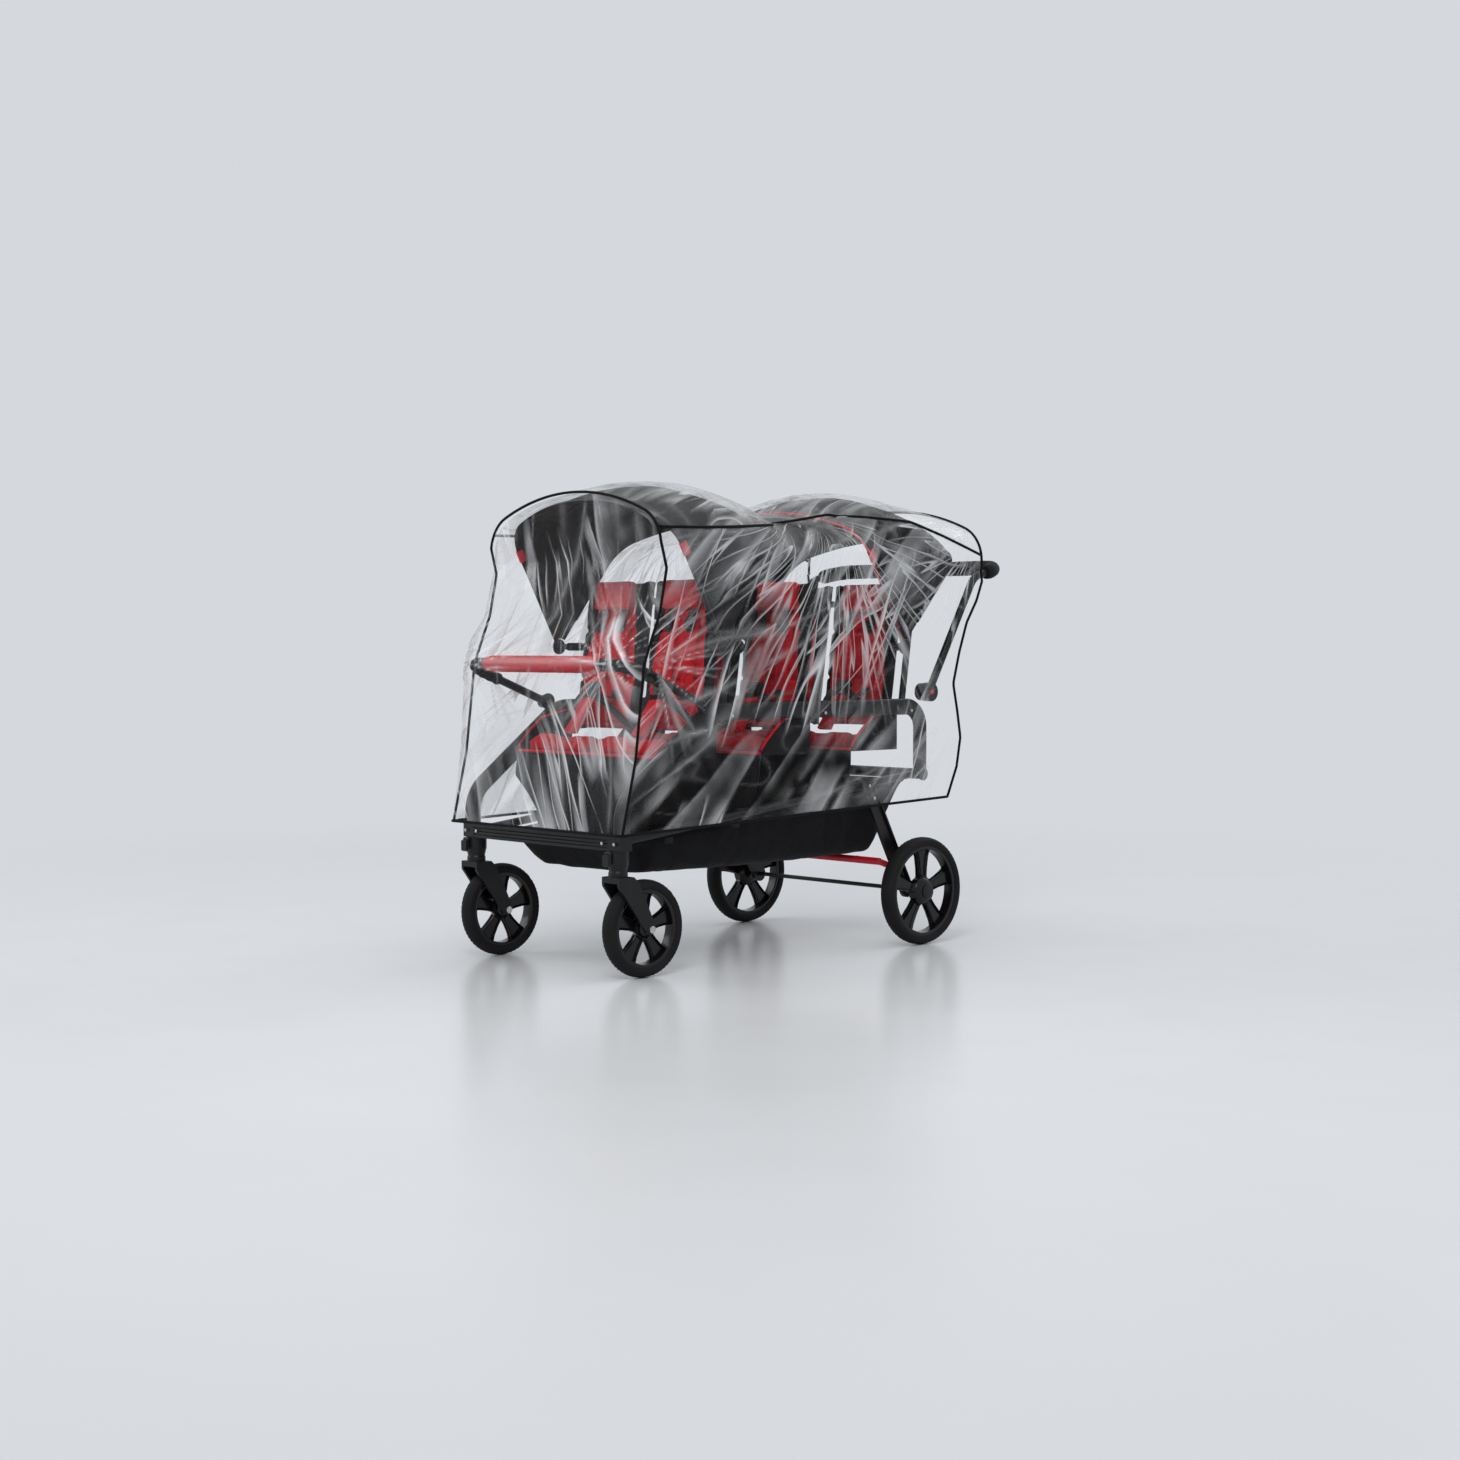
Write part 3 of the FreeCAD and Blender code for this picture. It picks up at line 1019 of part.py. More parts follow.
def cover_front():
    """The clear front: an arch at the first bow, bulged over the bumper and down to the hem."""
    half = float(size("cover_half") + size("cover_film"))
    film = float(size("cover_film"))

    def edge(level, inset):
        a, f = half - inset, inset - float(size(level + "_forward"))
        r = float(size(level + "_corner")) - inset
        z = float(size(level + "_z")) - (float(size("cover_seam_gap")) if level == "brow" else 0)
        bulge = r * (1 - math.sqrt(0.5))
        left = (Vector(-a, f + r, z), Vector(-a + bulge, f + bulge, z), Vector(-a + r, f, z))
        right = (Vector(a - r, f, z), Vector(a - bulge, f + bulge, z), Vector(a, f + r, z))
        return [left, (left[-1], right[0]), right]

    rings = [band(edge(level, 0), edge(level, film)) for level in COVER_LEVELS]
    lower = Part.makeLoft(rings, True, True)
    face = float(size("brow_forward")) * -1
    seam = float(size("brow_z") - size("cover_seam_gap"))
    start = face + film + float(size("cover_seam_gap"))
    above = Part.Face(cover_arch(face, cover_crest(start), brow_inset(start))).extrude(REARWARD * film)
    span = half - brow_inset(start)
    below = Part.makeBox(span * 2, film, float(size("cover_seam_gap")), Vector(-span, face, seam))
    plain("rain_cover_front", lower.fuse([above, below]).removeSplitter(), 0, front_axle_y, 0)


for side_name in SIDES:
    wheel("front", side_name, size("front_track"), size("front_wheel_d"), size("front_tyre_width"),
          size("hub_d"), front_axle_y, size("bolt_d"))
    wheel("rear", side_name, size("rear_track"), size("rear_wheel_d"), size("rear_tyre_width"),
          size("rear_hub_d"), rear_axle_y, size("axle_d"))
    caster(side_name)
    side_frame(side_name)
    rear_leg(side_name)
    cover_side(side_name)
caster_housings()
crossbar()
lower_rails()
rear_cross_tube()
rear_axle()
seat_tubes()
basket()
for row_number, row_name in enumerate(ROWS):
    seat_row(row_number, row_name)
for hood_row in HOOD_ROWS:
    hood(hood_row, ROWS.index(hood_row))
harness()
bumper()
handle()
brake()
cover_roof()
cover_front()
doc.recompute()

# Check every object before anything is written
for item in doc.Objects:
    if any(word in ("Invalid", "Error") for word in item.State):
        raise ValueError("%s did not rebuild: %s" % (item.Label, item.State))
for item in finished:
    if item.Shape.isNull() or not item.Shape.isValid():
        raise ValueError(item.Label + " has no valid shape")
    if not item.Shape.Solids:
        raise ValueError(item.Label + " has no solid")

os.makedirs("parts", exist_ok=True)
for item in finished:
    item.Shape.exportStep("parts/%s.step" % item.Label)
box = Part.makeCompound([item.Shape for item in finished]).BoundBox
print("%d sub-parts, box %.1f..%.1f  %.1f..%.1f  %.1f..%.1f" % (
    len(finished), box.XMin, box.XMax, box.YMin, box.YMax, box.ZMin, box.ZMax))
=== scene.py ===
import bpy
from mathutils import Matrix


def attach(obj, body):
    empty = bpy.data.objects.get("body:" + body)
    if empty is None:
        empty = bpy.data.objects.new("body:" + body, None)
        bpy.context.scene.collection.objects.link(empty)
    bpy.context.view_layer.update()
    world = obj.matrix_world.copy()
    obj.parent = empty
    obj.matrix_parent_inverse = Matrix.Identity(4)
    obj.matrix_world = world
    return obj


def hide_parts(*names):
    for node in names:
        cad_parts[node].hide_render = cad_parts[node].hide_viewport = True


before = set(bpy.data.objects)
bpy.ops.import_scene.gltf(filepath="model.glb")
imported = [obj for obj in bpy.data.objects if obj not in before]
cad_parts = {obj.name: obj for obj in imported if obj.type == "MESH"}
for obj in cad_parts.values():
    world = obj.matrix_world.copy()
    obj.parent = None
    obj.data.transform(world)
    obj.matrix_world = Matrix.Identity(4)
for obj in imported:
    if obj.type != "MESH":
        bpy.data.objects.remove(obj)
"""A six-seat daycare stroller dressed over its frame: cloth tubs and pads, harnesses, two
folding hoods, a sagging basket, spoked wheels, a push handle and a clear lift-off rain cover.
Lengths are metres. X points right as seen from in front, Y from the front wheels to the handle."""
import logging
import math
from dataclasses import dataclass
from enum import Enum
from typing import Callable, Iterable, Sequence

import bmesh
import bpy
from mathutils import Matrix, Vector, noise

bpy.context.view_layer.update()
LOG = logging.getLogger("stroller")

# Sizes and places that several pieces share
FRONT_AXLE_Y = -0.637
FRONT_TRACK = 0.590
REAR_TRACK = 0.716
REAR_AXLE = 0.998
CASTER_TRAIL = 0.082
SEAT_X = 0.1404
SEAT_FRONT = 0.066
SEAT_DEPTH = 0.190
SEAT_TOP = 0.572
BACK_FOOT = 0.268
BACK_FOOT_Z = 0.605
BACK_LEAN = math.radians(8.5)
BACK_PAD_FACE = 0.0284
HEAD_PAD_Z = 0.984
HOOD_HINGE = 0.244
HOOD_SLOPE = math.radians(22.8)
KNOB_DOME = 0.3
X_AXIS = Vector((1, 0, 0))
Y_AXIS = Vector((0, 1, 0))
Z_AXIS = Vector((0, 0, 1))
Grid = list[list[Vector]]
Shape = tuple[list[Vector], list[tuple[int, ...]]]


class Side(Enum):
    """The two sides, as seen from in front of the stroller."""

    LEFT = -1
    RIGHT = 1

    @property
    def word(self) -> str:
        """The side's name as the nodes spell it."""
        return self.name.lower()


class Row(Enum):
    """The seat rows, with the distance of each behind the first."""

    FRONT = 0.0
    MIDDLE = 0.352
    REAR = 0.704

    @property
    def word(self) -> str:
        """The row's name as the nodes spell it."""
        return self.name.lower()


class Face(Enum):
    """How a surface is shaded."""

    SMOOTH = 180
    EDGED = 32


class Lie(Enum):
    """How a part of the film lies: the turn and the stretch that make its creases run along it."""

    SIDE = ((1.0, 0.0, 0.0), (0.12, 0.80, 0.062))
    FRONT = ((0.0, -0.42, 0.0), (0.062, 0.8, 0.72))
    ROOF = ((0.0, 0.0, 0.26), (0.050, 0.80, 0.16))


def along(distance: float) -> float:
    """Y of a distance behind the front axle.

    Args:
        distance: metres behind the front wheels' axle.

    Returns:
        The Y coordinate.
    """
    return distance + FRONT_AXLE_Y


def back_face(height: float) -> float:
    """How far behind its row's start the front face of a leaning back pad is at a height."""
    return BACK_FOOT + (height - BACK_FOOT_Z) * math.tan(BACK_LEAN) - BACK_PAD_FACE


def evenly(first: float, last: float, steps: int) -> list[float]:
    """Evenly spaced values from the first to the last, both of them included."""
    return [first + (last - first) * k / steps for k in range(steps + 1)]


# Finishes
class Nodes:
    """A writer for one material's node tree."""

    def __init__(self, name: str) -> None:
        """Start an empty tree with its output and shader."""
        self.material = bpy.data.materials.new(name)
        self.material.use_nodes = True
        self.tree = self.material.node_tree
        self.tree.nodes.clear()
        self.output = self.tree.nodes.new("ShaderNodeOutputMaterial")
        self.shader = self.add("ShaderNodeBsdfPrincipled")
        self.tree.links.new(self.shader.outputs[0], self.output.inputs["Surface"])

    def add(self, kind: str, settings: dict | None = None, sockets: dict | None = None) -> bpy.types.Node:
        """Add a node.

        Args:
            kind: the node's type.
            settings: properties of the node itself.
            sockets: input values, or (node, output) pairs to link.

        Returns:
            The new node.
        """
        node = self.tree.nodes.new(kind)
        for key, value in (settings or {}).items():
            setattr(node, key, value)
        self.fill(node, sockets or {})
        return node

    def fill(self, node: bpy.types.Node, sockets: dict) -> None:
        """Set or link input sockets of a node."""
        for key, value in sockets.items():
            socket = node.inputs[key]
            if isinstance(value, tuple) and len(value) == 2 and isinstance(value[0], bpy.types.Node):
                self.tree.links.new(value[0].outputs[value[1]], socket)
            else:
                socket.default_value = value

    def place(self) -> tuple:
        """The piece's own coordinates."""
        return (self.add("ShaderNodeTexCoord"), "Object")

    def noise(self, scale: float, detail: float = 3.0, stretch: Sequence[float] | None = None) -> tuple:
        """Noise on the piece's own coordinates, from 0 to 1, drawn out by stretch."""
        vector = self.place()
        if stretch:
            vector = (self.add("ShaderNodeMapping", None, {"Vector": vector, "Scale": stretch}), "Vector")
        sockets = {"Vector": vector, "Scale": scale, "Detail": detail}
        return (self.add("ShaderNodeTexNoise", None, sockets), "Fac")

    def wave(self, direction: str, period: float) -> tuple:
        """Bands across one axis with a period in metres."""
        settings = {"wave_type": "BANDS", "bands_direction": direction}
        scale = math.pi / 10 / period
        sockets = {"Vector": self.place(), "Scale": scale, "Distortion": 0.6, "Detail Scale": 2.0}
        return (self.add("ShaderNodeTexWave", settings, sockets), "Fac")

    def maths(self, operation: str, first: object, second: object = 0.0) -> tuple:
        """One arithmetic step."""
        return (self.add("ShaderNodeMath", {"operation": operation}, {0: first, 1: second}), "Value")

    def linear(self, value: object, factor: object, offset: object) -> tuple:
        """A value scaled and shifted."""
        return self.maths("ADD", self.maths("MULTIPLY", value, factor), offset)

    def strongest(self, *values: tuple) -> tuple:
        """The largest of several values."""
        found = values[0]
        for value in values[1:]:
            found = self.maths("MAXIMUM", found, value)
        return found

    def pushed(self, scale: float, detail: float, reach: Sequence[float]) -> tuple:
        """The piece's own coordinates, moved about by noise.

        Args:
            scale: how fine the noise is.
            detail: its detail.
            reach: how far it moves a place along each axis.

        Returns:
            The coordinates' output.
        """
        sockets = {"Vector": self.place(), "Scale": scale, "Detail": detail}
        wander = (self.add("ShaderNodeTexNoise", None, sockets), "Color")
        sockets = {0: wander, 1: reach, 2: self.place()}
        return (self.add("ShaderNodeVectorMath", {"operation": "MULTIPLY_ADD"}, sockets), "Vector")

    def field(self, place: tuple, detail: float) -> tuple:
        """Soft noise over given coordinates, one swell for each unit."""
        sockets = {"Vector": place, "Scale": 1.0, "Detail": detail}
        return (self.add("ShaderNodeTexNoise", None, sockets), "Fac")

    def blend(self, factor: tuple, dark: Sequence[float], pale: Sequence[float], low: float,
              high: float) -> tuple:
        """A ramp between two colours.

        Args:
            factor: the driving output.
            dark: colour at low.
            pale: colour at high.
            low: where the ramp starts.
            high: where it ends.

        Returns:
            The colour output.
        """
        ramp = self.add("ShaderNodeValToRGB", None, {"Fac": factor})
        for stop, place, colour in zip(ramp.color_ramp.elements, (low, high), (dark, pale)):
            stop.position = place
            stop.color = (*colour, 1.0)
        return (ramp, "Color")

    def bump(self, height: tuple, strength: float, distance: float, under: tuple | None = None) -> tuple:
        """A bump from a height output, over another bump."""
        sockets = {"Height": height, "Strength": strength, "Distance": distance}
        if under:
            sockets["Normal"] = under
        return (self.add("ShaderNodeBump", None, sockets), "Normal")

    def shade(self, **sockets: object) -> bpy.types.Material:
        """Fill the shader and return the material."""
        self.fill(self.shader, {key.replace("_", " "): value for key, value in sockets.items()})
        return self.material


def tinted(colour: Sequence[float], factor: float) -> tuple[float, ...]:
    """A colour made lighter or darker."""
    return tuple(min(1.0, part * factor) for part in colour)


@dataclass(frozen=True)
class Finish:
    """A named finish that makes its material once."""

    name: str
    slot: str
    colour: tuple[float, float, float]

    def material(self) -> bpy.types.Material:
        """The finish's material, made on first use."""
        return bpy.data.materials.get(self.name) or self.mix(Nodes(self.name))

    def mix(self, nodes: Nodes) -> bpy.types.Material:
        """Write the material's nodes."""
        raise NotImplementedError


@dataclass(frozen=True)
class Cloth(Finish):
    """Woven fabric with a fine crossed weave, mottling and sheen."""

    weave: float = 0.0016
    sheen: float = 0.06
    crumple: float = 0.35
    spread: float = 0.22

    def mix(self, nodes: Nodes) -> bpy.types.Material:
        """Crossed threads over soft creases, with the colour lighter on the threads."""
        threads = nodes.maths("ADD", nodes.wave("X", self.weave), nodes.wave("Z", self.weave))
        threads = nodes.maths("ADD", threads, nodes.wave("Y", self.weave))
        mottled = nodes.linear(threads, 0.12, nodes.noise(34, 6))
        dark, pale = tinted(self.colour, 1 - self.spread), tinted(self.colour, 1 + self.spread)
        colour = nodes.blend(mottled, dark, pale, 0.4, 0.9)
        creases = nodes.bump(nodes.noise(17, 4), self.crumple, 0.012)
        weave = nodes.bump(threads, 0.3, 0.0004, creases)
        return nodes.shade(Base_Color=colour, Roughness=0.86, Sheen_Weight=self.sheen, Sheen_Roughness=0.45,
                           Specular_IOR_Level=0.10, Normal=weave)


@dataclass(frozen=True)
class Webbing(Finish):
    """Narrow woven strap with ribs across it."""

    def mix(self, nodes: Nodes) -> bpy.types.Material:
        """Ribs on all three axes, close together."""
        ribs = nodes.maths("MULTIPLY", nodes.wave("Z", 0.0022), nodes.wave("X", 0.0031))
        colour = nodes.blend(ribs, tinted(self.colour, 0.7), tinted(self.colour, 1.35), 0.1, 0.8)
        return nodes.shade(Base_Color=colour, Roughness=0.7, Specular_IOR_Level=0.2, Sheen_Weight=0.06,
                           Normal=nodes.bump(ribs, 0.5, 0.0006))


@dataclass(frozen=True)
class Moulded(Finish):
    """Moulded plastic with a fine grain, handling marks and an even gloss."""

    gloss: float = 0.4
    grain: float = 0.18
    coat: float = 0.0

    def mix(self, nodes: Nodes) -> bpy.types.Material:
        """Spark-eroded grain with slightly uneven gloss and dust."""
        dust = nodes.noise(21, 5)
        colour = nodes.blend(dust, self.colour, tinted(self.colour, 1.45), 0.45, 0.8)
        rough = nodes.linear(nodes.noise(55, 4), 0.16, self.gloss - 0.08)
        grain = nodes.bump(nodes.noise(1500, 2), self.grain, 0.0003)
        return nodes.shade(Base_Color=colour, Roughness=rough, Coat_Weight=self.coat, Coat_Roughness=0.12,
                           Specular_IOR_Level=0.26, Normal=grain)


@dataclass(frozen=True)
class Coated(Finish):
    """Powder-coated metal tube: satin, slightly orange-peeled, with faint rubs."""

    gloss: float = 0.36

    def mix(self, nodes: Nodes) -> bpy.types.Material:
        """Orange peel under a thin clear coat, with paler rubbed patches."""
        rubs = nodes.noise(26, 8, (1.0, 0.25, 1.0))
        colour = nodes.blend(rubs, self.colour, tinted(self.colour, 1.8), 0.55, 0.85)
        rough = nodes.linear(rubs, 0.2, self.gloss - 0.1)
        peel = nodes.bump(nodes.noise(420, 2), 0.12, 0.0006)
        return nodes.shade(Base_Color=colour, Roughness=rough, Specular_IOR_Level=0.28, Coat_Weight=0.03,
                           Coat_Roughness=0.25, Normal=peel)


@dataclass(frozen=True)
class Rubber(Finish):
    """Moulded tyre rubber, dusty where it touches the floor."""

    def mix(self, nodes: Nodes) -> bpy.types.Material:
        """Fine pores and a dusty bloom."""
        bloom = nodes.noise(14, 7)
        colour = nodes.blend(bloom, self.colour, tinted(self.colour, 1.7), 0.42, 0.85)
        pores = nodes.bump(nodes.noise(900, 3), 0.25, 0.0005)
        return nodes.shade(Base_Color=colour, Roughness=0.7, Specular_IOR_Level=0.16, Normal=pores)


@dataclass(frozen=True)
class Foam(Finish):
    """Closed-cell foam with small open pores."""

    def mix(self, nodes: Nodes) -> bpy.types.Material:
        """Cell walls from Voronoi, the colour darkening towards each cell's middle as painted shade in the
        pores, and a soft sheen.
        """
        sockets = {"Vector": nodes.place(), "Scale": 620.0}
        cells = (nodes.add("ShaderNodeTexVoronoi", None, sockets), "Distance")
        # painted shade: colour darker in the pores, paler on the cell walls
        colour = nodes.blend(cells, tinted(self.colour, 0.6), tinted(self.colour, 1.3), 0.1, 0.7)
        return nodes.shade(Base_Color=colour, Roughness=0.92, Specular_IOR_Level=0.12, Sheen_Weight=0.08,
                           Normal=nodes.bump(cells, 0.5, 0.0008))


@dataclass(frozen=True)
class Metal(Finish):
    """Bright bare metal with turning marks."""

    def mix(self, nodes: Nodes) -> bpy.types.Material:
        """Fine turning lines and smears."""
        rough = nodes.linear(nodes.noise(70, 5), 0.2, 0.18)
        lines = nodes.bump(nodes.wave("Z", 0.0007), 0.12, 0.0002)
        colour = nodes.blend(nodes.noise(90, 3), tinted(self.colour, 0.8), self.colour, 0.3, 0.6)
        return nodes.shade(Base_Color=colour, Metallic=1.0, Roughness=rough, Normal=lines)


@dataclass(frozen=True)
class Vinyl(Finish):
    """Clear flexible film: almost unseen, with thin creases that slant down towards the front, whose
    highlights are painted as thin white lines in the film's alpha.
    """

    lie: Lie = Lie.SIDE
    # the veil over the whole sheet: a little real haze on the sides, a painted reflection of the lamps on the
    # front and roof
    haze_and_reflection: float = 0.003
    # fans: spots from which painted highlight lines spread over the sides
    fans: tuple = (((0.04, 1.21), 10.0, 0.66), ((0.60, 1.15), 6.0, 0.42))

    def creases(self, nodes: Nodes, share: float, size: float, sharp: float, low: float) -> tuple:
        """Painted highlights: thin bright lines along one slant, gathered in patches, where creases in the
        film would catch the light.

        Args:
            nodes: the material's tree.
            share: how much of the lie's turn they take.
            size: how coarse they are.
            sharp: how narrow they are.
            low: where their patches begin.

        Returns:
            Their strength, from 0 to 1.
        """
        turn, stretch = self.lie.value
        sockets = {"Vector": nodes.pushed(1.9, 1.0, (0.12, 0.12, 0.12)),
                   "Rotation": tuple(angle * share for angle in turn),
                   "Scale": tuple(part * size for part in stretch)}
        turned = (nodes.add("ShaderNodeMapping", {"vector_type": "TEXTURE"}, sockets), "Vector")
        patch = nodes.blend(nodes.noise(3.1, 3), (0.0, 0.0, 0.0), (1.0, 1.0, 1.0), low, low + 0.16)
        return nodes.maths("MULTIPLY", self.ridge(nodes, nodes.field(turned, 0.7), sharp), patch)

    @staticmethod
    def ridge(nodes: Nodes, field: tuple, sharp: float) -> tuple:
        """A line along a field's middle value, crisp on one side and soft on the other."""
        away = nodes.maths("SUBTRACT", field, 0.5)
        soft, crisp = nodes.maths("MULTIPLY", away, sharp), nodes.maths("MULTIPLY", away, -4.0 * sharp)
        fall = nodes.maths("SUBTRACT", 1.0, nodes.strongest(soft, crisp))
        return nodes.maths("POWER", nodes.maths("MAXIMUM", fall, 0.0), 1.3)

    @staticmethod
    def zone(nodes: Nodes, value: tuple, start: float, end: float) -> tuple:
        """A share that runs from 0 at the start to 1 at the end."""
        sockets = {"Value": value, "From Min": start, "From Max": end}
        return (nodes.add("ShaderNodeMapRange", None, sockets), "Result")

    def fan(self, nodes: Nodes, spot: tuple[float, float], count: float, reach: float) -> tuple:
        """Painted highlight lines that spread from a point where the film hangs, such as a peak of the roof's
        seam, where its creases would catch the light.

        Args:
            nodes: the material's tree.
            spot: the point's y and z.
            count: how close the creases stand.
            reach: how far they run.

        Returns:
            Their strength, from 0 to 1.
        """
        wander = 0.07
        place = nodes.pushed(2.3, 2.0, (0.0, wander, wander))
        parts = nodes.add("ShaderNodeSeparateXYZ", None, {"Vector": place})
        y = nodes.maths("SUBTRACT", (parts, "Y"), spot[0] + wander / 2)
        z = nodes.maths("SUBTRACT", spot[1] + wander / 2, (parts, "Z"))
        angle = nodes.maths("ARCTAN2", y, z)
        away = nodes.maths("SQRT", nodes.linear(y, y, nodes.maths("MULTIPLY", z, z)))
        sockets = {"X": nodes.maths("MULTIPLY", angle, count), "Y": nodes.maths("MULTIPLY", away, 2.4)}
        where = (nodes.add("ShaderNodeCombineXYZ", None, sockets), "Vector")
        outer, inner = self.zone(nodes, away, reach, reach * 0.45), self.zone(nodes, away, 0.02, 0.10)
        held = nodes.maths("MULTIPLY", outer, inner)
        return nodes.maths("MULTIPLY", self.ridge(nodes, nodes.field(where, 0.8), 13.0), held)

    def mix(self, nodes: Nodes) -> bpy.types.Material:
        """The film is white and its alpha paints the light on it: painted highlight lines along the creases
        and along the folds stored on the sheet, and a painted reflection veil that grows with the viewing
        angle.
        """
        # the fold attribute, read here as painted highlights
        folds = (nodes.add("ShaderNodeAttribute", {"attribute_name": "fold"}), "Fac")
        rim = (nodes.add("ShaderNodeLayerWeight", None, {"Blend": 0.2}), "Fresnel")
        height = (nodes.add("ShaderNodeSeparateXYZ", None, {"Vector": nodes.place()}), "Z")
        # where the broad painted reflection patches are strongest: low on the sides and on the roof
        painted_sheen_zones = nodes.strongest(self.zone(nodes, height, 0.70, 0.54), self.zone(nodes, height, 0.93, 1.05))
        # the crease lines and patches below are painted highlights and reflections in the white film's alpha
        steep = self.creases(nodes, share=1.12, size=1.0, sharp=15.0, low=0.42)
        flat = self.creases(nodes, share=0.62, size=0.75, sharp=17.0, low=0.46)
        broad = self.creases(nodes, share=0.9, size=2.1, sharp=11.0, low=0.46)
        soft = self.creases(nodes, share=0.78, size=1.5, sharp=5.0, low=0.35)
        sheen = nodes.strongest(nodes.maths("MULTIPLY", broad, 0.46), nodes.maths("MULTIPLY", soft, 0.40))
        sheen = nodes.maths("MULTIPLY", sheen, nodes.linear(painted_sheen_zones, 0.95, 0.05))
        crisp = nodes.strongest(nodes.maths("MULTIPLY", steep, 0.72), nodes.maths("MULTIPLY", flat, 0.6))
        lines = nodes.strongest(crisp, sheen)
        if self.lie is Lie.SIDE:
            for spot, count, reach in self.fans:
                spread = self.fan(nodes, spot, count, reach)
                lines = nodes.strongest(lines, nodes.maths("MULTIPLY", spread, 0.62))
        # shine: the painted highlights of the creases and the stored folds
        shine = nodes.strongest(lines, nodes.maths("MULTIPLY", nodes.maths("POWER", folds, 1.4), 0.62))
        # painted reflection: a Fresnel rim over the film's even veil
        painted_reflection_veil = nodes.linear(rim, 0.22, self.haze_and_reflection)
        alpha = nodes.maths("MINIMUM", nodes.maths("ADD", shine, painted_reflection_veil), 0.9)
        ripple = nodes.bump(lines, 0.35, 0.01, nodes.bump(nodes.noise(9, 4, (1.0, 0.45, 0.6)), 0.3, 0.02))
        return nodes.shade(Base_Color=(*self.colour, 1.0), Roughness=0.14, IOR=1.5, Alpha=alpha,
                           Normal=ripple)


RED_CLOTH = Cloth("red_padded_cloth", "red_cloth", (0.50, 0.008, 0.018), spread=0.16)
RED_TRIM = Cloth("red_binding", "red_cloth", (0.52, 0.010, 0.022), weave=0.0011, crumple=0.1)
BLACK_CLOTH = Cloth("black_woven_cloth", "black_cloth", (0.0072, 0.0072, 0.0085), spread=0.3)
HOOD_CLOTH = Cloth("charcoal_hood_cloth", "black_cloth", (0.0135, 0.013, 0.014), weave=0.0014, spread=0.25,
                   crumple=0.25)
PIPING = Cloth("black_piping", "black_cloth", (0.005, 0.005, 0.006), weave=0.0009, crumple=0.05, sheen=0.04)
STRAP = Webbing("black_webbing", "black_cloth", (0.012, 0.012, 0.014))
TUBE = Coated("satin_black_tube", "frame_black", (0.0060, 0.0060, 0.0070))
PLASTIC = Moulded("black_moulding", "black_plastic", (0.0066, 0.0066, 0.0078))
GLOSS = Moulded("gloss_black_wheel", "wheel_plastic", (0.0035, 0.0035, 0.0042), gloss=0.24, grain=0.04,
                coat=0.12)
RED_PLASTIC = Moulded("red_moulding", "red_plastic", (0.5, 0.010, 0.022), gloss=0.34, grain=0.1, coat=0.2)
TYRE = Rubber("moulded_tyre", "tyre_rubber", (0.0082, 0.0082, 0.0088))
FOAM = Foam("soft_foam", "grip_foam", (0.0085, 0.0085, 0.0095))
STEEL = Metal("turned_steel", "bright_steel", (0.55, 0.55, 0.56))
# The film is white so that its alpha paints highlights and reflections.
FILM_COLOUR = (0.90, 0.91, 0.93)
# One film in three copies, one for each lie: the roof's copy is darkened to offset the top lamp over it, and
# the front and roof carry a stronger painted reflection veil, while the side's small veil is the film's own
# haze.
FILMS = {
    lie: Vinyl("clear_vinyl_" + lie.name.lower(), "clear_film", tinted(FILM_COLOUR, tone), lie, haze_and_reflection)
    for lie, tone, haze_and_reflection in ((Lie.SIDE, 1.0, 0.003), (Lie.FRONT, 1.0, 0.018), (Lie.ROOF, 0.72, 0.06))
}


# Shaping tools
def clear_selection() -> None:
    """Leave edit mode and deselect everything."""
    if bpy.context.object and bpy.context.object.mode != "OBJECT":
        bpy.ops.object.mode_set(mode="OBJECT")
    bpy.ops.object.select_all(action="DESELECT")


def hold(piece: bpy.types.Object) -> None:
    """Make one object the only selected and active one."""
    clear_selection()
    piece.select_set(True)
    bpy.context.view_layer.objects.active = piece


def settle(piece: bpy.types.Object) -> None:
    """Move the object's place, turn and size into its mesh."""
    hold(piece)
    bpy.ops.object.transform_apply(location=True, rotation=True, scale=True)


def apply_all(piece: bpy.types.Object) -> None:
    """Apply every modifier in order."""
    hold(piece)
    for name in [modifier.name for modifier in piece.modifiers]:
        bpy.ops.object.modifier_apply(modifier=name)


def shade(piece: bpy.types.Object, face: Face) -> None:
    """Set how the surface is shaded."""
    hold(piece)
    if face is Face.SMOOTH:
        bpy.ops.object.shade_smooth()
    else:
        bpy.ops.object.shade_smooth_by_angle(angle=math.radians(face.value))


def dress(piece: bpy.types.Object, name: str, body: str, finish: Finish, face: Face = Face.EDGED,
          nodes: Iterable[str] = ()) -> bpy.types.Object:
    """Name, shade, paint and seat a finished piece.

    Args:
        piece: the object.
        name: its name.
        body: the body it rides on.
        finish: its finish.
        face: its shading.
        nodes: the frame's nodes it stands for.

    Returns:
        The same object.
    """
    piece.name = name
    piece.data.name = name
    settle(piece)
    shade(piece, face)
    piece.data.materials.clear()
    piece.data.materials.append(finish.material())
    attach(piece, body)
    if nodes:
        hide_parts(*nodes)
    LOG.info("%s: %d faces on %s", name, len(piece.data.polygons), body)
    return piece


def two_tone(piece: bpy.types.Object, finish: Finish, chosen: Callable[[Vector, Vector], bool]) -> None:
    """Give the chosen faces of a dressed piece a second finish.

    Args:
        piece: the piece.
        finish: the second finish.
        chosen: tells from a face's middle and normal whether it gets it.
    """
    piece.data.materials.append(finish.material())
    for face in piece.data.polygons:
        if chosen(face.center, face.normal):
            face.material_index = 1


